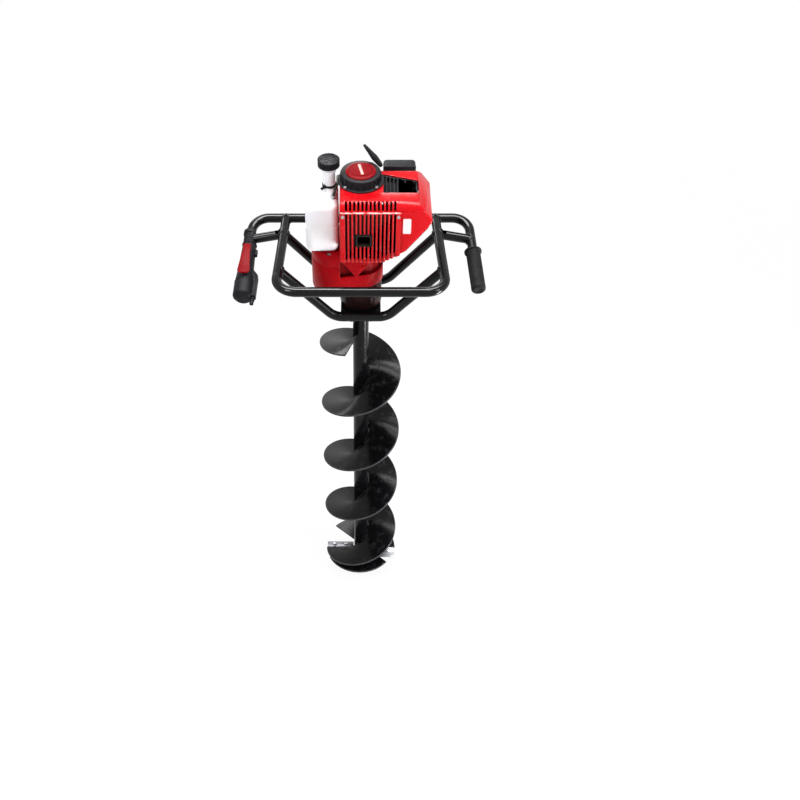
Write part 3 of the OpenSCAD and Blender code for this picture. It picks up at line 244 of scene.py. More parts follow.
def tubeAlong(points, radius, sides, closed=False, swell=None):
    # rings of a torus are laid along a route, with an optional swelling per ring
    count = len(points)
    deselectAll()
    bpy.ops.mesh.primitive_torus_add(major_segments=count, minor_segments=sides,
                                     major_radius=1, minor_radius=0.1)
    piece = bpy.context.object
    points = [Vector(p) * mm for p in points]
    side = None
    for i, here in enumerate(points):
        before = points[i - 1] if closed or i else here
        after = points[(i + 1) % count] if closed or i < count - 1 else here
        along = (after - before).normalized()
        if side is None:
            side = along.orthogonal()
        side = (side - along * side.dot(along)).normalized()
        other = along.cross(side)
        reach = radius * mm * (swell(i) if swell else 1)
        for k in range(sides):
            turn = 2 * math.pi * k / sides
            piece.data.vertices[i * sides + k].co = (
                here + reach * (side * math.cos(turn) + other * math.sin(turn)))
    if not closed:
        # the ring that would join the two ends is taken out and both ends are capped
        ends = {0, count - 1}
        selectOnly(piece, "FACE", lambda face: {v // sides for v in face.vertices} == ends)
        bpy.ops.mesh.delete(type="ONLY_FACE")
        selectOnly(piece, "EDGE", lambda edge: {v // sides for v in edge.vertices} == ends)
        bpy.ops.mesh.delete(type="EDGE")
        capEnds(piece)
    editAll(piece)
    bpy.ops.mesh.normals_make_consistent(inside=False)
    bpy.ops.object.mode_set(mode="OBJECT")
    piece.matrix_world = Matrix.Identity(4)
    return piece


def copyOf(node):
    # a merged copy of a CAD node, for pieces that follow its form closely
    pick(nodes[node])
    bpy.ops.object.duplicate()
    piece = bpy.context.object
    for key in list(piece.keys()):
        del piece[key]
    piece.parent = None
    piece.matrix_world = Matrix.Identity(4)
    editAll(piece)
    bpy.ops.mesh.remove_doubles(threshold=0.004 * mm)
    bpy.ops.mesh.dissolve_limited(angle_limit=math.radians(1))
    bpy.ops.object.mode_set(mode="OBJECT")
    return piece


def breakEdges(piece, width):
    addModifier(piece, "BEVEL", width=width * mm, segments=2, limit_method="ANGLE",
                angle_limit=math.radians(40), use_clamp_overlap=False, miter_outer="MITER_ARC")
    return piece


class Sock:
    def __init__(self, tree, socket):
        self.tree = tree
        self.socket = socket

    def work(self, operation, other, swap=False, clamp=False):
        node = self.tree.nodes.new("ShaderNodeMath")
        node.operation = operation
        node.use_clamp = clamp
        pair = (other, self) if swap else (self, other)
        for target, value in zip(node.inputs, pair):
            plug(self.tree, value, target)
        return Sock(self.tree, node.outputs[0])

    def __add__(self, other):
        return self.work("ADD", other)

    def __sub__(self, other):
        return self.work("SUBTRACT", other)

    def __rsub__(self, other):
        return self.work("SUBTRACT", other, swap=True)

    def __mul__(self, other):
        return self.work("MULTIPLY", other)

    def __pow__(self, other):
        return self.work("POWER", other)

    def __rpow__(self, other):
        return self.work("POWER", other, swap=True)

    __radd__ = __add__
    __rmul__ = __mul__

    def clamped(self):
        return self.work("ADD", 0.0, clamp=True)


def plug(tree, value, target):
    if isinstance(value, Sock):
        tree.links.new(value.socket, target)
    else:
        target.default_value = value


class Shading:
    def __init__(self, tree):
        self.tree = tree

    def node(self, kind, settings, values, out=0):
        node = self.tree.nodes.new(kind)
        for key, value in settings.items():
            setattr(node, key, value)
        for key, value in values.items():
            plug(self.tree, value, node.inputs[key])
        return Sock(self.tree, node.outputs[out])

    def seenDirectly(self):
        # 1 for rays that show the background itself: camera, mirror and glass rays
        eye, mirror, glass = (self.node("ShaderNodeLightPath", {}, {}, ray)
                              for ray in ("Is Camera Ray", "Is Glossy Ray", "Is Transmission Ray"))
        return eye.work("MAXIMUM", mirror).work("MAXIMUM", glass)


class Finish(Shading):
    def __init__(self, name):
        self.material = bpy.data.materials.new(name)
        self.material.use_nodes = True
        super().__init__(self.material.node_tree)
        self.shader = self.tree.nodes["Principled BSDF"]
        self.place = self.node("ShaderNodeTexCoord", {}, {}, "Object")

    def noise(self, scale, detail, stretch=None):
        place = self.place
        if stretch:
            place = self.node("ShaderNodeMapping", {}, {"Vector": place, "Scale": stretch})
        return self.node("ShaderNodeTexNoise", {}, {"Vector": place, "Scale": scale, "Detail": detail})

    def ramp(self, value, low, high):
        return self.node("ShaderNodeMapRange", {"clamp": True},
                         {"Value": value, "From Min": low, "From Max": high})

    def axes(self):
        split = self.node("ShaderNodeSeparateXYZ", {}, {0: self.place})
        return [Sock(self.tree, out) for out in split.socket.node.outputs]

    def blend(self, share, first, second):
        first, second = (tone if isinstance(tone, Sock) else (*tone, 1) for tone in (first, second))
        # a mix node keeps its colours in sockets 6 and 7 and gives the mixed one at 2
        return self.node("ShaderNodeMix", {"data_type": "RGBA"}, {0: share, 6: first, 7: second}, 2)

    def shadeInHollows(self, reach, full=0.4):
        # painted shade: 1 in corners and slots, where less light reaches, 0 on open surfaces
        clear = self.node("ShaderNodeAmbientOcclusion", {"samples": 6, "only_local": True},
                          {"Distance": reach}, "AO")
        return self.ramp(clear, full + 0.42, full)

    def bump(self, height, strength, distance):
        values = {"Height": height, "Strength": strength, "Distance": distance}
        self.set({"Normal": self.node("ShaderNodeBump", {}, values, "Normal")})

    def set(self, values):
        for key, value in values.items():
            plug(self.tree, value, self.shader.inputs[key])


def shade(colour, factor):
    return tuple(min(1, c * factor) for c in colour)


def glossPaint(name, colour, roughness, coat, peel, dust, gloss=0.25, highlightAbove=None):
    # sprayed enamel: slow tone drift, faint orange peel and a dull bloom
    f = Finish(name)
    drift = f.noise(9, 4)
    bloom = f.ramp(f.noise(38, 6), 0.52, 0.8)
    base = f.blend(drift, shade(colour, 0.86), shade(colour, 1.12))
    base = f.blend(bloom * dust, base, shade(colour, 1.5))
    # painted shade: corners and slots are darkened towards a tenth of the colour
    base = f.blend(f.shadeInHollows(12 * mm) * 0.7, base, shade(colour, 0.12))
    if highlightAbove:
        # the top edge is rubbed through to pale primer
        # painted highlight: a pale band along the top edge, broken up by noise, stands in for the light caught on
        # that edge
        x, y, z = f.axes()
        wearAndHighlight = f.ramp(z, highlightAbove, highlightAbove + 0.5 * mm) * f.ramp(f.noise(130, 4), 0.36, 0.56)
        base = f.blend(wearAndHighlight * 0.75, base, (0.86, 0.70, 0.66))
    f.set({"Base Color": base,
           "Roughness": (drift * 0.10 + bloom * 0.22 + (roughness - 0.05)).clamped(),
           "Coat Weight": coat, "Coat Roughness": 0.08, "Specular IOR Level": gloss})
    f.bump(f.noise(900, 2) + f.noise(160, 2) * 1.4, peel, 0.4 * mm)
    return f.material


def mouldedPlastic(name, colour, roughness, grain=0.35, scale=1500):
    # textured tool steel leaves a fine grain, with smoother handled patches
    f = Finish(name)
    wearAndHighlight = f.ramp(f.noise(22, 4), 0.45, 0.75)
    f.set({"Base Color": f.blend(wearAndHighlight, shade(colour, 0.85), shade(colour, 1.3)),
           "Roughness": (roughness - wearAndHighlight * 0.14 + f.noise(300, 2) * 0.06).clamped(),
           "Specular IOR Level": 0.1})
    f.bump(f.noise(scale, 2) + f.noise(scale / 5, 2) * 0.5, grain, 0.3 * mm)
    return f.material


def castMetal(name, colour, metallic, roughness, grit, stainAndShade=(0.05, 0.03, 0.025), gloss=0.15):
    # sand-cast skin: coarse grit, darker stain settled in patches
    f = Finish(name)
    stain = f.ramp(f.noise(28, 6), 0.5, 0.78)
    base = f.blend(f.noise(60, 3), shade(colour, 0.8), shade(colour, 1.15))
    base = f.blend(stain * 0.45, base, stainAndShade)
    # painted shade: corners, slots and pockets are darkened towards a dark tone of the stain colour
    f.set({"Base Color": f.blend(f.shadeInHollows(45 * mm, 0.5) * 0.9, base, shade(stainAndShade, 0.3)),
           "Roughness": (stain * 0.2 + f.noise(500, 2) * 0.12 + (roughness - 0.06)).clamped(),
           "Metallic": metallic, "Specular IOR Level": gloss})
    f.bump(f.noise(420, 4), grit, 0.5 * mm)
    return f.material


def groundSteel(name, colour, roughness, lay=(40, 1500, 1500)):
    # fine wheel marks in one direction, with a little smear
    f = Finish(name)
    marks = f.noise(1, 3, lay)
    smear = f.noise(35, 4)
    f.set({"Base Color": f.blend(smear, shade(colour, 0.78), shade(colour, 1.1)),
           "Roughness": (marks * 0.22 + smear * 0.12 + (roughness - 0.15)).clamped(),
           "Metallic": 1.0})
    f.bump(marks, 0.25, 0.2 * mm)
    return f.material


def wornSpiral(name, colour, outer):
    # satin black plate with turning marks around the drive axis and a rubbed rim
    f = Finish(name)
    x, y, z = f.axes()
    radius = (x * x + y * y) ** 0.5
    rings = f.node("ShaderNodeTexNoise", {"noise_dimensions": "1D"},
                   {"W": radius * 900 + f.noise(12, 2) * 4, "Scale": 1.0, "Detail": 3})
    scuff = f.ramp(f.noise(55, 6), 0.54, 0.72)
    rim = f.ramp(radius + f.noise(140, 3) * (4 * mm), outer - 0.8 * mm, outer + 2.6 * mm)
    cloudy = f.noise(16, 4)
    base = f.blend(cloudy, shade(colour, 0.7), shade(colour, 1.25))
    base = f.blend(scuff * 0.12, base, (0.07, 0.07, 0.08))
    f.set({"Base Color": f.blend(rim * 0.2, base, (0.2, 0.2, 0.21)),
           "Roughness": (rings * 0.12 + scuff * 0.18 + cloudy * 0.06 + 0.06).clamped(),
           "Metallic": (rim * 0.3).clamped(), "Specular IOR Level": 0.125})
    f.bump(rings + f.noise(500, 2) * 0.4, 0.12, 0.3 * mm)
    return f.material


def milkyTank(name, level):
    # translucent polyethylene, a shade warmer where fuel stands behind it
    f = Finish(name)
    x, y, z = f.axes()
    wet = f.ramp(f.noise(30, 2) * (2 * mm) + z, level + 1.2 * mm, level - 0.4 * mm)
    mottle = f.noise(45, 4)
    dry = f.blend(mottle, (0.82, 0.83, 0.87), (0.88, 0.89, 0.93))
    f.set({"Base Color": f.blend(wet * 0.5, dry, (0.82, 0.81, 0.81)),
           "Roughness": (mottle * 0.14 + 0.3).clamped(),
           "Subsurface Weight": 0.25, "Subsurface Radius": (6 * mm, 6 * mm, 6 * mm),
           "Specular IOR Level": 0.45})
    f.bump(f.noise(260, 3), 0.12, 0.3 * mm)
    return f.material


def twistedRope(name, along, period):
    # dark flecks run round the cord as it is laid
    f = Finish(name)
    run = f.node("ShaderNodeVectorMath", {"operation": "DOT_PRODUCT"}, {0: f.place, 1: along}, "Value")
    wave = (run * (2 * math.pi / period)).work("SINE", 0.0)
    fleck = f.ramp(wave + f.noise(900, 2), 0.9, 1.3)
    f.set({"Base Color": f.blend(fleck, (0.62, 0.60, 0.53), (0.12, 0.12, 0.13)),
           "Roughness": (f.noise(700, 2) * 0.2 + 0.7).clamped()})
    f.bump(f.noise(2400, 2), 0.5, 0.4 * mm)
    return f.material


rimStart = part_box("main_flight")[1].x - 1 * mm
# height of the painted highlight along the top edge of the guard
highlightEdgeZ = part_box("muffler_guard")[1].z - 0.9 * mm
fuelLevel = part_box("fuel_tank")[0].z + 82 * mm
# one finish for each material slot
finishes = {
    "frame_paint": glossPaint("frameEnamel", (0.003, 0.003, 0.0035), roughness=0.15, coat=0.16,
                              peel=0.06, dust=0.3, gloss=0.12),
    "bit_paint": wornSpiral("bitEnamel", (0.003, 0.003, 0.0035), rimStart),
    "cutter_steel": groundSteel("cutterSteel", (0.27, 0.275, 0.29), roughness=0.4),
    "grip_rubber": mouldedPlastic("gripRubber", (0.009, 0.009, 0.010), roughness=0.68, grain=0.5,
                                  scale=900),
    "handle_plastic": mouldedPlastic("handlePlastic", (0.006, 0.006, 0.008), roughness=0.5),
    "red_plastic": glossPaint("shroudRed", (0.53, 0.002, 0.006), roughness=0.24, coat=0.05,
                              peel=0.05, dust=0.06, gloss=0.12),
    "red_metal": glossPaint("guardRed", (0.53, 0.003, 0.007), roughness=0.26, coat=0.1,
                            peel=0.10, dust=0.08, gloss=0.16, highlightAbove=highlightEdgeZ),
    "red_casting": castMetal("caseRed", (0.30, 0.001, 0.004), metallic=0.0, roughness=0.36,
                             grit=0.3, stainAndShade=(0.03, 0.002, 0.002), gloss=0.05),
    "black_casting": castMetal("housingBlack", (0.018, 0.007, 0.007), metallic=0.0, roughness=0.34,
                               grit=0.3, gloss=0.06),
    "casting": castMetal("bareCasting", (0.42, 0.43, 0.44), metallic=0.9, roughness=0.46,
                         grit=0.5, stainAndShade=(0.12, 0.11, 0.10)),
    "steel": groundSteel("platedSteel", (0.50, 0.51, 0.53), roughness=0.34, lay=(300, 300, 900)),
    "friction": castMetal("clutchLining", (0.16, 0.13, 0.11), metallic=0.2, roughness=0.7, grit=0.6),
    "muffler_steel": castMetal("mufflerSkin", (0.022, 0.018, 0.016), metallic=0.5, roughness=0.6,
                               grit=0.4),
    "black_plastic": mouldedPlastic("mouldedBlack", (0.009, 0.009, 0.011), roughness=0.42, grain=0.3,
                                    scale=1300),
    "foam": mouldedPlastic("filterFoam", (0.05, 0.05, 0.052), roughness=0.9, grain=0.9, scale=1800),
    "rope": twistedRope("starterCord", pullAxis, 5 * mm),
    "tank_plastic": milkyTank("milkyTank", fuelLevel),
    "hose_rubber": mouldedPlastic("hoseRubber", (0.035, 0.04, 0.032), roughness=0.45, grain=0.25,
                                  scale=700),
}
trims = {
    "deepRed": glossPaint("deepRed", (0.21, 0.001, 0.004), roughness=0.42, coat=0.0, peel=0.05,
                          dust=0.06, gloss=0.04),
    "paleStripe": glossPaint("paleStripe", (0.80, 0.42, 0.38), roughness=0.3, coat=0.1, peel=0.02,
                             dust=0.05),
    "blankLabel": glossPaint("blankLabel", (0.72, 0.66, 0.67), roughness=0.35, coat=0.1, peel=0.02,
                             dust=0.05),
}
# nodes that differ from the finish of their slot
ownFinish = {"starter_cap": trims["deepRed"], "safety_lever": trims["deepRed"],
             "stop_switch": finishes["handle_plastic"]}

# every CAD node that stays in view wears the finish of its slot
for node, slot in slots.items():
    nodes[node].data.materials.clear()
    nodes[node].data.materials.append(finishes[slot])
print("finishes made:", len(finishes) + len(trims))


# the camera, the lamps and the backdrop are set out in metres
camera = {"place": (0, -1.981, 2.6605), "down": 45.2, "sensor": 36, "lens": 49.41, "shift": 0.049}


def setCamera(c):
    lens = bpy.data.cameras.new("camera")
    lens.sensor_width = c["sensor"]
    lens.lens = c["lens"]
    lens.shift_x = c["shift"]
    view = bpy.data.objects.new("camera", lens)
    view.location = c["place"]
    view.rotation_euler = (math.radians(90 - c["down"]), 0, 0)
    bpy.context.scene.collection.objects.link(view)
    bpy.context.scene.camera = view
    bpy.context.scene.view_settings.view_transform = "Standard"


setCamera(camera)

studio = [
    # name, place, aim, width, height, watts, lights matt surfaces too
    ("keySoftbox", (-1.7, -1.5, 3.1), (0, 0, 1.0), 0.9, 0.9, 50, True),
    ("fillSoftbox", (2.2, -1.3, 2.2), (0, 0, 0.8), 0.6, 1.6, 30, True),
    ("topBank", (0.1, 0.1, 3.3), (0, 0, 1.1), 2.0, 0.5, 44, True),
    ("backStrip", (-0.6, 2.4, 1.8), (0, 0, 0.9), 1.8, 0.5, 24, True),
    ("lowStrip", (1.05, -0.5, 0.35), (0, 0, 0.62), 0.22, 0.9, 26, True),
    ("gleamBank", (0, 0.45, 3.2), (0, -0.14, 1.14), 2.4, 0.9, 150, False),
]
for name, place, aim, width, height, watts, matt in studio:
    lamp = bpy.data.lights.new(name, "AREA")
    lamp.shape = "RECTANGLE"
    lamp.size = width
    lamp.size_y = height
    lamp.energy = watts
    holder = bpy.data.objects.new(name, lamp)
    holder.location = place
    holder.rotation_euler = (Vector(aim) - Vector(place)).to_track_quat("-Z", "Y").to_euler()
    holder.visible_camera = False
    holder.visible_diffuse = matt
    bpy.context.scene.collection.objects.link(holder)


backdrop = {"air": 0.45, "size": 60, "drop": 0.0005, "tone": (0.9, 0.9, 0.9, 1), "roughness": 0.9,
            "glowNear": 0.86, "fadeRate": 0.45, "fadeFrom": 0.3}


def setBackdrop(b):
    world = bpy.data.worlds.new("studioWorld")
    bpy.context.scene.world = world
    world.use_nodes = True
    sky = Shading(world.node_tree)
    air = sky.tree.nodes["Background"]
    air.inputs["Color"].default_value = (1, 1, 1, 1)
    plug(sky.tree, sky.seenDirectly() * (1 - b["air"]) + b["air"], air.inputs["Strength"])
    deselectAll()
    bpy.ops.mesh.primitive_plane_add(size=b["size"], location=(0, 0, -b["drop"]))
    floor = bpy.context.object
    floor.name = "paleFloor"
    f = Finish("paleFloor")
    f.set({"Base Color": b["tone"], "Roughness": b["roughness"]})
    # the floor keeps the shadow near the bit and fades to plain white further out
    away = f.node("ShaderNodeVectorMath", {"operation": "LENGTH"}, {0: f.place}, "Value")
    fade = (away * b["fadeRate"] - b["fadeFrom"]).clamped() * (1 - b["glowNear"]) + b["glowNear"]
    matte = Sock(f.tree, f.shader.outputs[0])
    glow = f.node("ShaderNodeEmission", {}, {"Strength": 1.0})
    mixed = f.node("ShaderNodeMixShader", {}, {0: f.seenDirectly() * fade, 1: matte, 2: glow})
    plug(f.tree, mixed, f.tree.nodes["Material Output"].inputs["Surface"])
    floor.data.materials.append(f.material)


setBackdrop(backdrop)
print("camera, light and floor set")


tubeR = 11
railZ = sum(corner.z for corner in boxOf("guard_hoop")) / 2
gripX, barY = 250, 128
gripSlope, gripSplay = 14, 4


def onGrip(side):
    # local Z runs from the bend to the free end of a grip tube, local Y is up
    turn = turnAbout("Z", side * gripSplay) @ turnAbout("X", 90 + gripSlope)
    return moved(side * gripX, barY, railZ) @ turn


rightGrip = {"start": 98, "end": 210, "radius": 16.5, "flange": 20, "flangeWide": 5, "ribs": 17,
             "ribDeep": 1.1, "plainEnd": 15}


def makeRightGrip(g):
    r, start, end, flange = g["radius"], g["start"], g["end"], g["flange"]
    flangeEnd = start + g["flangeWide"]
    profile = [(0.6 * r, start), (flange - 1, start), (flange, start + 1), (flange, flangeEnd - 1.2),
               (flange - 1.5, flangeEnd), (r, flangeEnd + 0.6)]
    pitch = (end - g["plainEnd"] - flangeEnd) / g["ribs"]
    low = r - g["ribDeep"]
    for i in range(g["ribs"]):
        z = flangeEnd + 2 + i * pitch
        profile += [(r, z), (low, z + 0.22 * pitch), (low, z + 0.45 * pitch), (r, z + 0.68 * pitch)]
    profile += [(r, end - 9), (r, end - 5), (r - 1.2, end - 2), (r - 4, end - 0.3), (r - 7, end),
                (r - 8, end - 0.9), (0, end - 0.9), (0, start)]
    wear(turned(profile, onGrip(1), 72), "ribbedGrip", "right_grip", 50)


makeRightGrip(rightGrip)
print("right grip made")


spiral = {"inner": 19.15, "outer": 100, "thick": 5, "lead": 45, "pitch": 205, "turns": 4.19,
          "startDeg": 180, "rim": 1.4, "stepDeg": 2.5}
# turn from the start, sweep, rise and pitch of each plate at the lower end
lowerPlates = [(25, 113, 7, 32), (180, 138, 0, 44)]
rootWeld = {"runDeg": 62, "gapDeg": 20, "firstDeg": 14, "rings": 26, "radius": 2.3, "ripple": 0.16,
            "out": 0.9, "up": 0.6}


def makeFlight(s, startDeg, sweepDeg, low, pitch):
    # the cross-section of the plate, then screwed up the axis
    deselectAll()
    bpy.ops.mesh.primitive_plane_add(size=1)
    piece = bpy.context.object
    corners = [(s["inner"], 0), (s["outer"], 0), (s["inner"], s["thick"]), (s["outer"], s["thick"])]
    for point, (r, z) in zip(piece.data.vertices, corners):
        point.co = (r * mm, 0, z * mm)
    selectOnly(piece, "VERT", lambda point: point.co.x > (s["outer"] - 1) * mm)
    bpy.ops.mesh.bevel(offset=s["rim"] * mm, segments=3, affect="VERTICES")
    bpy.ops.mesh.select_all(action="SELECT")
    bpy.ops.mesh.delete(type="ONLY_FACE")
    bpy.ops.object.mode_set(mode="OBJECT")
    bakePlace(piece, moved(0, 0, low) @ turnAbout("Z", startDeg))
    steps = round(sweepDeg / s["stepDeg"])
    addModifier(piece, "SCREW", axis="Z", angle=math.radians(sweepDeg), steps=steps, render_steps=steps,
                screw_offset=pitch * mm * sweepDeg / 360, use_merge_vertices=False)
    capEnds(piece)
    closeUp(piece)
    return piece


def makeSpiral(s):
    main = makeFlight(s, s["startDeg"], s["turns"] * 360, s["lead"], s["pitch"])
    wear(main, "spiralPlate", "main_flight")
    lower = joinAll([makeFlight(s, s["startDeg"] + turn, sweep, s["lead"] + rise, pitch)
                     for turn, sweep, rise, pitch in lowerPlates])
    wear(lower, "leadPlates", "lower_flight")


def makeRootWeld(s, w):
    # fillet weld along the root of the plate, in short runs
    ripple = lambda i: 1 + w["ripple"] * math.sin(i * 2.4)
    reach, low = s["inner"] + w["out"], s["lead"] + s["thick"] + w["up"]
    beads = []
    turn = w["firstDeg"]
    while turn + w["runDeg"] < s["turns"] * 360:
        points = []
        for i in range(w["rings"]):
            here = turn + w["runDeg"] * i / (w["rings"] - 1)
            angle = math.radians(s["startDeg"] + here)
            z = low + s["pitch"] * here / 360
            points.append((reach * math.cos(angle), reach * math.sin(angle), z))
        beads.append(tubeAlong(points, w["radius"], 8, swell=ripple))
        turn += w["runDeg"] + w["gapDeg"]
    addOn(joinAll(beads), "flightWelds", "auger", "bit_paint", 60)


makeSpiral(spiral)
makeRootWeld(spiral, rootWeld)
print("spiral made")


# castings, plates and small mouldings: copies of their solids with the edges broken
brokenEdges = {
    "gear_case": ("gearCase", 1.0), "clutch_housing": ("clutchBell", 1.0),
    "bottom_housing": ("bottomCasting", 1.0), "mount_plate": ("mountPlate", 0.6),
    "muffler_guard": ("slottedGuard", 0.7),
    "muffler": ("mufflerBox", 0.6), "starter_housing": ("starterBody", 0.7),
    "throttle_trigger": ("throttleTrigger", 1.0), "safety_lever": ("safetyPaddle", 1.0),
    "stop_switch": ("stopButton", 1.1), "choke_lever": ("chokeLever", 0.5),
    "carburettor": ("carbBody", 0.5), "carb_insulator": ("insulatorBlock", 0.6),
    "filter_base": ("filterPlate", 0.8), "plug_cap": ("plugBoot", 0.8),
    "cutter_blades": ("cutterBlades", 0.4), "hitch_pin": ("hitchPin", 0.4),
}
for node, (name, width) in brokenEdges.items():
    wear(breakEdges(copyOf(node), width), name, node)
print("edges broken on", len(brokenEdges), "pieces")


hood = {"round": 5, "roundFromX": 81.5, "edge": 0.8}


def makeHood(h):
    # the front edges to the right of the guard are rounded, all others only broken
    piece = copyOf("shroud")
    front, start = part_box("shroud")[0].y + 0.1 * mm, h["roundFromX"] * mm
    selectCorners(piece, lambda a, b: max(a.y, b.y) < front and min(a.x, b.x) > start)
    bpy.ops.mesh.bevel(offset=h["round"] * mm, segments=5, affect="EDGES")
    bpy.ops.object.mode_set(mode="OBJECT")
    wear(breakEdges(piece, h["edge"]), "engineHood", "shroud")


makeHood(hood)
print("hood made")


tank = {"low": (-120, -49.5, 1171.95), "high": (-49, 55.5, 1298.95), "round": 16, "seamZ": 1238,
        "seamOut": 0.6, "seamHigh": 1.5, "neck": (-68, 10), "neckRadius": 13.5, "neckWall": 2.5,
        "neckTop": 1371, "collarZ": 1348, "threadZ": 1355, "threads": 3, "bandZ": 1312,
        "nipple": (-77, 0.5, 1314.5), "nippleTurn": -38, "nippleTilt": 95}


def makeTank(t):
    shell = boxPiece(t["low"], t["high"], t["round"], 6)
    out = t["seamOut"]
    lowCorner, highCorner = [v - out for v in t["low"][:2]], [v + out for v in t["high"][:2]]
    seam = slab(roundRect(lowCorner, highCorner, t["round"], 10), t["seamHigh"], moved(0, 0, t["seamZ"]))
    r, foot, top, collar = t["neckRadius"], t["high"][2], t["neckTop"], t["collarZ"]
    profile = [(r + 4.5, foot - 1), (r + 4.5, foot + 0.8), (r + 2.2, foot + 3), (r + 0.4, foot + 8),
               (r, foot + 14), (r, collar), (r + 2.2, collar + 1), (r + 2.2, collar + 4), (r, collar + 5)]
    for i in range(t["threads"]):
        z = t["threadZ"] + i * 2
        profile += [(r, z), (r + 0.1, z + 0.5), (r, z + 1)]
    inner = r - t["neckWall"]
    profile += [(r, top), (inner, top), (inner, foot - 1)]
    upright = moved(*t["neck"], 0)
    neck = turned(profile, upright, 64)
    wear(joinAll([shell, seam, neck]), "milkyFuelTank", "fuel_tank", 40)
    # rubber band with a breather nipple low on the neck
    low = t["bandZ"]
    band = turned([(r + 0.1, low), (r + 1.9, low + 0.6), (r + 1.9, low + 4.4), (r + 0.1, low + 5)],
                  upright, 48)
    outward = moved(*t["nipple"]) @ turnAbout("Z", t["nippleTurn"]) @ turnAbout("X", t["nippleTilt"])
    nipple = turned([(0, -3), (4.6, -3), (4.6, 3), (2.8, 4), (2.8, 9), (3.4, 9.6), (3.4, 11.2),
                     (1.8, 12.4), (0, 12.4)], outward, 24)
    addOn(joinAll([band, nipple]), "neckBreather", "frame", "black_plastic")


makeTank(tank)

cap = {"radius": 23.5, "low": 1360.95, "height": 17, "grooves": 26, "groove": 1.5, "crown": 2.4,
       "crownFall": 1.8, "dishFrom": 5, "dishEdge": 0.8, "dishDeep": 1.6, "boreGap": 0.3,
       "boreDeep": 10.05, "barLow": (-12, -2.2, 14), "barHigh": (12, 2.2, 16.9), "barTurn": 35}


def makeFuelCap(c):
    perGroove = 6  # points of the outline, the first two of them let in
    count = c["grooves"] * perGroove
    outline = []
    for i in range(count):
        turn = 2 * math.pi * i / count
        reach = c["radius"] - (c["groove"] if i % perGroove < 2 else 0)
        outline.append((reach * math.cos(turn), reach * math.sin(turn)))
    place = moved(*tank["neck"], c["low"])
    piece = slab(outline, c["height"], place)
    top = (c["low"] + c["height"]) * mm
    onTop = lambda face: face.normal.z > 0.98 and face.center.z > top - 0.1 * mm
    selectOnly(piece, "FACE", onTop)
    bpy.ops.mesh.inset(thickness=c["crown"] * mm, depth=0)
    bpy.ops.object.mode_set(mode="OBJECT")
    # the outer row of the crown is let down so the top edge falls away
    middle, crownEdge = Vector(tank["neck"]) * mm, (c["radius"] - c["crown"] - 0.1) * mm
    for point in piece.data.vertices:
        if point.co.z > top - 0.01 * mm and (point.co.xy - middle).length > crownEdge:
            point.co.z -= c["crownFall"] * mm
    selectOnly(piece, "FACE", onTop)
    bpy.ops.mesh.inset(thickness=c["dishFrom"] * mm)
    bpy.ops.mesh.inset(thickness=c["dishEdge"] * mm, depth=-c["dishDeep"] * mm)
    bpy.ops.object.mode_set(mode="OBJECT")
    bore, deep = tank["neckRadius"] + c["boreGap"], c["boreDeep"]
    cut(piece, [turned([(0, -1), (bore, -1), (bore, deep), (0, deep)], place, 48)])
    bar = boxPiece(c["barLow"], c["barHigh"], 0.9)
    bakePlace(bar, place @ turnAbout("Z", c["barTurn"]))
    wear(joinAll([piece, bar]), "ribbedFuelCap", "fuel_cap", 32)


makeFuelCap(cap)
print("tank and cap made")


starter = {"capRadius": 32.5, "capZ": 1352, "stripe": (3, 19), "stripeTurn": 12, "ribs": 20,
           "ribLow": (42, -0.9, 1333), "ribHigh": (44.2, 0.9, 1349.5), "ribTurn": 9}


def makeStarterCap(s):
    r, z = s["capRadius"], s["capZ"]
    profile = [(0, z), (r, z), (r, z + 1.6), (r - 0.5, z + 2.5), (r - 2.4, z + 3.6), (r - 5, z + 4.4),
               (r - 7, z + 4.7), (r - 7.6, z + 4.0), (r - 9, z + 4.0), (r - 9.6, z + 4.9),
               (r - 18, z + 5.3), (0, z + 5.5)]
    wear(turned(profile, Matrix.Identity(4), 96), "starterDisc", "starter_cap", 30)
    wide, long = s["stripe"]
    bar = boxPiece((-wide, -long, z + 4.2), (wide, long, z + 6.2), 0.8)
    bakePlace(bar, turnAbout("Z", s["stripeTurn"]))
    finishPiece(bar, "starterStripe", "frame", trims["paleStripe"])
    # radial ribs stand on the flange round the drum
    ribs = []
    for i in range(s["ribs"]):
        rib = boxPiece(s["ribLow"], s["ribHigh"], 0.5, 2)
        bakePlace(rib, turnAbout("Z", 360 * i / s["ribs"] + s["ribTurn"]))
        ribs.append(rib)
    addOn(joinAll(ribs), "starterRibs", "frame", "black_plastic")


makeStarterCap(starter)

pull = {"exit": (21.25, 36.81, 1342.95), "out": 20, "turn": 60, "tilt": -48, "rope": 2.0,
        "ropeInside": 9, "ropeShort": 10, "ropeRings": 81, "ripple": 0.05}


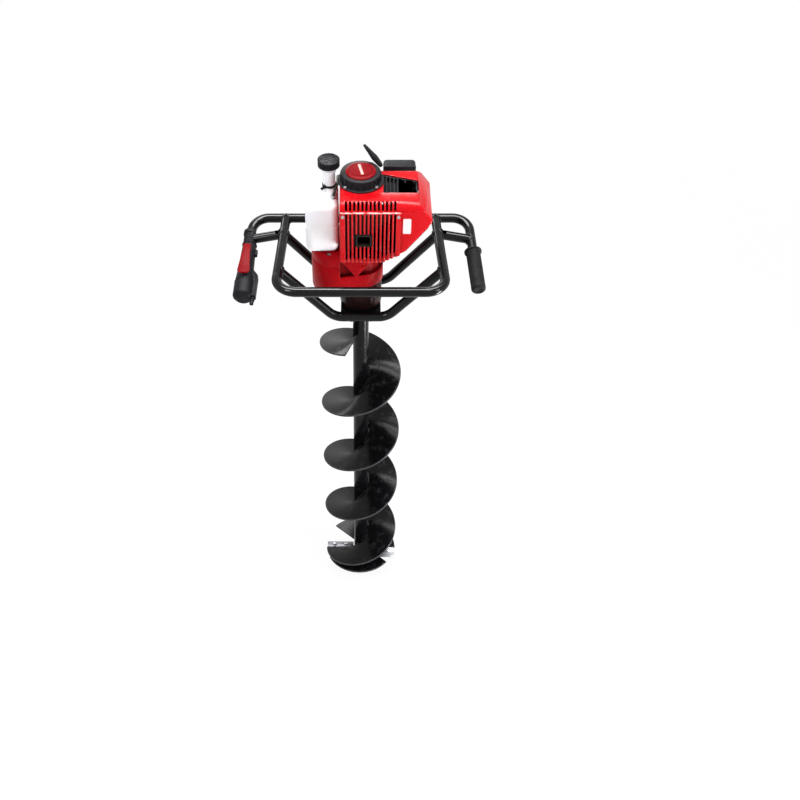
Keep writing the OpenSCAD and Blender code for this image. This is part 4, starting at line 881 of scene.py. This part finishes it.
def makeStarterPull(p):
    along, leave = Vector(pullAxis), Vector(p["exit"])
    middle = leave + along * p["out"]
    profile = [(0, -24), (3.4, -23.4), (4.6, -21), (5.4, -16), (6.0, -12), (6.5, -7), (6.9, -3), (7, 0),
               (6.9, 3), (6.3, 8), (6.2, 9), (5.7, 9.4), (5.7, 10.8), (6.0, 11.2), (5.8, 13), (5.3, 13.4),
               (5.3, 14.8), (5.55, 15.2), (5.2, 17), (4.6, 17.4), (4.6, 18.8), (4.9, 19.2), (4.0, 27),
               (3.0, 35), (2.2, 36.6), (0, 37)]
    place = moved(*middle) @ turnAbout("Z", p["turn"]) @ turnAbout("X", p["tilt"])
    wear(turned(profile, place, 48), "starterHandle", "starter_grip", 30)
    # laid cord between the drum and the handle, which on the real starter runs out when the handle is pulled; here
    # it is one fixed piece
    first, last = leave - along * p["ropeInside"], middle - along * p["ropeShort"]
    points = [first.lerp(last, i / (p["ropeRings"] - 1)) for i in range(p["ropeRings"])]
    cord = tubeAlong(points, p["rope"], 12, swell=lambda i: 1 + p["ripple"] * math.sin(i * 1.9))
    finishPiece(cord, "starterCord", None, finishes["rope"], ["starter_rope"], 60)
    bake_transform(cord)


makeStarterPull(pull)
print("starter made")


hose = {"route": [(-58, -22, 1299), (-58, -22, 1313), (-50.4, 10, 1313), (-50.4, 60, 1303),
                  (-20, 75, 1257.5), (10, 75, 1231.5), (48, 75, 1231.5)],
        "radius": 3, "bend": 12, "step": 2.0, "clips": (0.02, 0.955)}


def rounded(route, bend, steps=10):
    # straight runs with the corners rounded off
    route = [Vector(p) for p in route]
    points = [route[0]]
    for before, here, after in zip(route, route[1:], route[2:]):
        back, on = (before - here).normalized(), (after - here).normalized()
        half = back.angle(on) / 2
        reach = bend / math.tan(half)
        start, end = here + back * reach, here + on * reach
        centre = here + (back + on).normalized() * bend / math.sin(half)
        for i in range(steps + 1):
            spoke = (start - centre).lerp(end - centre, i / steps).normalized() * bend
            points.append(centre + spoke)
    points.append(route[-1])
    return points


def evenly(points, step):
    # the same path in equal short steps
    even = [points[0]]
    spare = 0
    for a, b in zip(points, points[1:]):
        long = (b - a).length
        at = step - spare
        while at <= long:
            even.append(a.lerp(b, at / long))
            at += step
        spare = long - (at - step)
    if (even[-1] - points[-1]).length > step * 0.3:
        even.append(points[-1])
    return even


def makeHose(h):
    r = h["radius"]
    path = evenly(rounded(h["route"], h["bend"]), h["step"])
    wear(tubeAlong(path, r, 16), "fuelLine", "fuel_hose", 60)
    clips = []
    for share in h["clips"]:
        at = max(2, round(share * len(path)))
        along = (path[at + 1] - path[at - 1]).normalized()
        place = moved(*path[at]) @ along.to_track_quat("Z", "Y").to_matrix().to_4x4()
        ring = turned([(r, -2), (r + 0.9, -1.8), (r + 0.9, 1.8), (r, 2)], place, 32)
        ear = boxPiece((r + 0.4, -1.6, -1.6), (r + 3.4, 1.6, 1.6), 0.5)
        bakePlace(ear, place)
        clips += [ring, ear]
    addOn(joinAll(clips), "hoseClips", "frame", "steel")


makeHose(hose)
print("fuel line made")


filterLid = {"low": (50, 97.1, 1190), "high": (122, 125, 1304), "round": 8, "wall": 3, "insideRound": 5,
             "ribs": 6, "ribMargin": 22, "ribFrom": 9, "ribTo": 25, "ribHalf": 1.6, "ribSunk": 1.5,
             "ribProud": 1.3}


def makeFilterLid(f):
    low, high, wall = Vector(f["low"]), Vector(f["high"]), f["wall"]
    # the block is made deeper, so only the outer edges stay rounded after the cut
    deeper, beside = Vector((0, 10, 0)), Vector((20, 0, 20))
    shell = boxPiece(low - deeper, high, f["round"], 5)
    front = boxPiece(low - deeper * 2 - beside, Vector((high.x, low.y, high.z)) + beside, 0)
    inside = boxPiece(low + Vector((wall, -2, wall)), high - Vector((wall, wall, wall)),
                      f["insideRound"], 4)
    cut(shell, [front, inside])
    parts = [shell]
    span = (high.z - low.z - 2 * f["ribMargin"]) / (f["ribs"] - 1)
    for i in range(f["ribs"]):
        z = low.z + f["ribMargin"] + i * span
        for x0, x1 in ((low.x + f["ribFrom"], low.x + f["ribTo"]),
                       (high.x - f["ribTo"], high.x - f["ribFrom"])):
            parts.append(boxPiece((x0, high.y - f["ribSunk"], z - f["ribHalf"]),
                                  (x1, high.y + f["ribProud"], z + f["ribHalf"]), 0.7, 2))
    middle = moved((low.x + high.x) / 2, high.y, (low.z + high.z) / 2)
    knob = [(0, -1), (11, -1), (11, 0.6), (8.5, 1.4), (8.5, 6.4), (7.6, 7.4), (5.4, 7.4), (5, 6.6),
            (0, 6.6)]
    parts.append(turned(knob, middle @ turnAbout("X", -90), 40))
    wear(joinAll(parts), "filterLid", "filter_cover")


makeFilterLid(filterLid)
print("filter lid made")


throttle = {"halves": {"throttle_body_inner": "throttleInner", "throttle_body_outer": "throttleOuter"},
            "edge": 0.6, "plain": (70, 90), "gland": (23, -3),
            # place along the grip, radius, width and the shift of the middle
            "collars": [(80.4, 15.9, 3, (0, 0)), (187, 22.6, 3.2, (2, -2)), (224.5, 21.4, 2.6, (2, -2))]}


def makeThrottle(t):
    # edges are broken except where the sleeve runs into the body
    grip = onGrip(-1)
    back = grip.inverted()
    low, high = (v * mm for v in t["plain"])
    for node, name in t["halves"].items():
        half = copyOf(node)
        selectCorners(half, lambda a, b: not any(low < (back @ p).z < high for p in (a, b)))
        bpy.ops.mesh.bevel(offset=t["edge"] * mm, segments=2, affect="EDGES", clamp_overlap=True)
        bpy.ops.object.mode_set(mode="OBJECT")
        wear(half, name, node)
    parts = []
    for z, r, wide, (x, y) in t["collars"]:
        profile = [(r - 3, z), (r + 0.6, z), (r + 1.3, z + 0.6), (r + 1.3, z + wide - 0.6),
                   (r + 0.6, z + wide), (r - 3, z + wide)]
        parts.append(turned(profile, grip @ moved(x, y, 0), 56))
    gland = [(3.0, 228.5), (4.6, 228.5), (6.2, 229.2), (6.2, 232), (4.6, 232.6), (4.6, 234), (5.6, 234.4),
             (5.6, 236), (4.6, 236.6), (4.6, 244.6), (3.4, 245), (2, 245), (2, 228.5)]
    parts.append(turned(gland, grip @ moved(*t["gland"], 0), 28))
    addOn(joinAll(parts), "throttleCollars", "frame", "handle_plastic", 40)


makeThrottle(throttle)
print("throttle made")


weld = {"radius": 2.7, "ripple": 0.15, "rings": 72, "railFront": (187, -142), "railBackX": 174,
        "strutY": 66, "footX": 60, "plateX": 44, "plateY": 55.2, "plateUp": 0.2, "plateRings": 45}


def saddle(start, along, axisPoint, axis, rings):
    # the curve where one frame tube meets the side of another
    along, axis = along.normalized(), axis.normalized()
    side = along.orthogonal().normalized()
    other = along.cross(side)
    flat = lambda v: v - axis * v.dot(axis)
    points = []
    for i in range(rings):
        turn = 2 * math.pi * i / rings
        ring = start + tubeR * (side * math.cos(turn) + other * math.sin(turn))
        a, b = flat(along), flat(ring - axisPoint)
        square, cross, rest = a.dot(a), a.dot(b), b.dot(b) - tubeR ** 2
        points.append(ring + along * (math.sqrt(max(0, cross * cross - square * rest)) - cross) / square)
    return points


def makeWelds(w):
    ripple = lambda i: 1 + w["ripple"] * math.sin(i * 2.2)
    front, back = Vector((*w["railFront"], railZ)), Vector((w["railBackX"], barY, railZ))
    rail, strutY, rings = back - front, w["strutY"], w["rings"]
    onRail = lambda y: front.lerp(back, (y - front.y) / rail.y)
    footZ = boxOf("front_cradle")[0].z + tubeR
    plateZ = boxOf("mount_plate")[1].z + w["plateUp"]
    half = (w["plateRings"] - 1) / 2
    beads = []
    for side in (1, -1):
        flip = Matrix.Scale(side, 4, (1, 0, 0))
        grip = onGrip(side)
        gripStart, gripDir = grip.to_translation() / mm, grip.to_3x3() @ Vector((0, 0, 1))
        runs = []
        for y in (-strutY, strutY):
            top, foot = onRail(y), Vector((w["footX"], y, footZ))
            runs.append([flip @ p for p in saddle(top, foot - top, front, rail, rings)])
        runs.append([flip @ p for p in saddle(back, front - back, back, Vector((1, 0, 0)), rings)])
        brace = flip @ onRail(strutY)
        far = gripStart + gripDir * (barY - strutY) / -gripDir.y
        runs.append(saddle(brace, far - brace, flip @ front, flip @ rail, rings))
        runs.append(saddle(far, brace - far, gripStart, gripDir, rings))
        for points in runs:
            beads.append(tubeAlong(points, w["radius"], 10, closed=True, swell=ripple))
        line = [(w["plateX"] * (1 - i / half), side * w["plateY"], plateZ)
                for i in range(w["plateRings"])]
        beads.append(tubeAlong(line, w["radius"], 10, swell=ripple))
    addOn(joinAll(beads), "frameWelds", "frame", "frame_paint", 60)


makeWelds(weld)
print("frame welds made")


bladeBolts = {"tilt": -17, "edge": -98, "clear": 0.15, "at": ((20, 9), (54, 9)), "thick": 5}


def makeBladeBolts(b):
    parts = []
    for half in (0, 180):
        seat = (turnAbout("Z", half) @ moved(b["edge"], b["clear"], spiral["lead"])
                @ turnAbout("X", b["tilt"]))
        for x, y in b["at"]:
            place = seat @ moved(x, y, b["thick"])
            parts.append(turned([(0, -1), (7.5, -1), (7.5, 0.9), (7, 1.3), (0, 1.3)], place, 36))
            parts.append(turned([(0, 0.5), (6.2, 0.5), (6.2, 5), (5.4, 5.6), (0, 5.6)], place, 6))
    addOn(joinAll(parts), "bladeBolts", "auger", "steel", 25)


makeBladeBolts(bladeBolts)

pilot = {"rings": 90, "low": 2.4, "rise": 22, "turns": 2.3, "tip": 2.2, "flare": 17 / 27, "radius": 1.9,
         "thin": 0.45, "thinRings": 40}


def makePilotThread(p):
    # screw ridge round the pilot cone, to draw the bit down
    points = []
    for i in range(p["rings"]):
        share = i / (p["rings"] - 1)
        z = p["low"] + p["rise"] * share
        reach = p["tip"] + p["flare"] * z
        turn = 2 * math.pi * p["turns"] * share
        points.append((reach * math.cos(turn), reach * math.sin(turn), z))
    grow = lambda i: p["thin"] + (1 - p["thin"]) * min(1, i / p["thinRings"])
    addOn(tubeAlong(points, p["radius"], 8, swell=grow), "pilotThread", "auger", "cutter_steel", 60)


makePilotThread(pilot)
print("cutting end made")


plate = {"low": (89, 1258), "high": (106, 1296), "front": -92, "sunk": 0.1, "thick": 0.5, "round": 2.5}


def makeBlankPlate(p):
    stand = moved(0, p["front"] + p["sunk"], 0) @ turnAbout("X", 90)
    piece = slab(roundRect(p["low"], p["high"], p["round"]), p["thick"], stand)
    finishPiece(piece, "blankPlate", "frame", trims["blankLabel"])


makeBlankPlate(plate)
print("blank plate set")
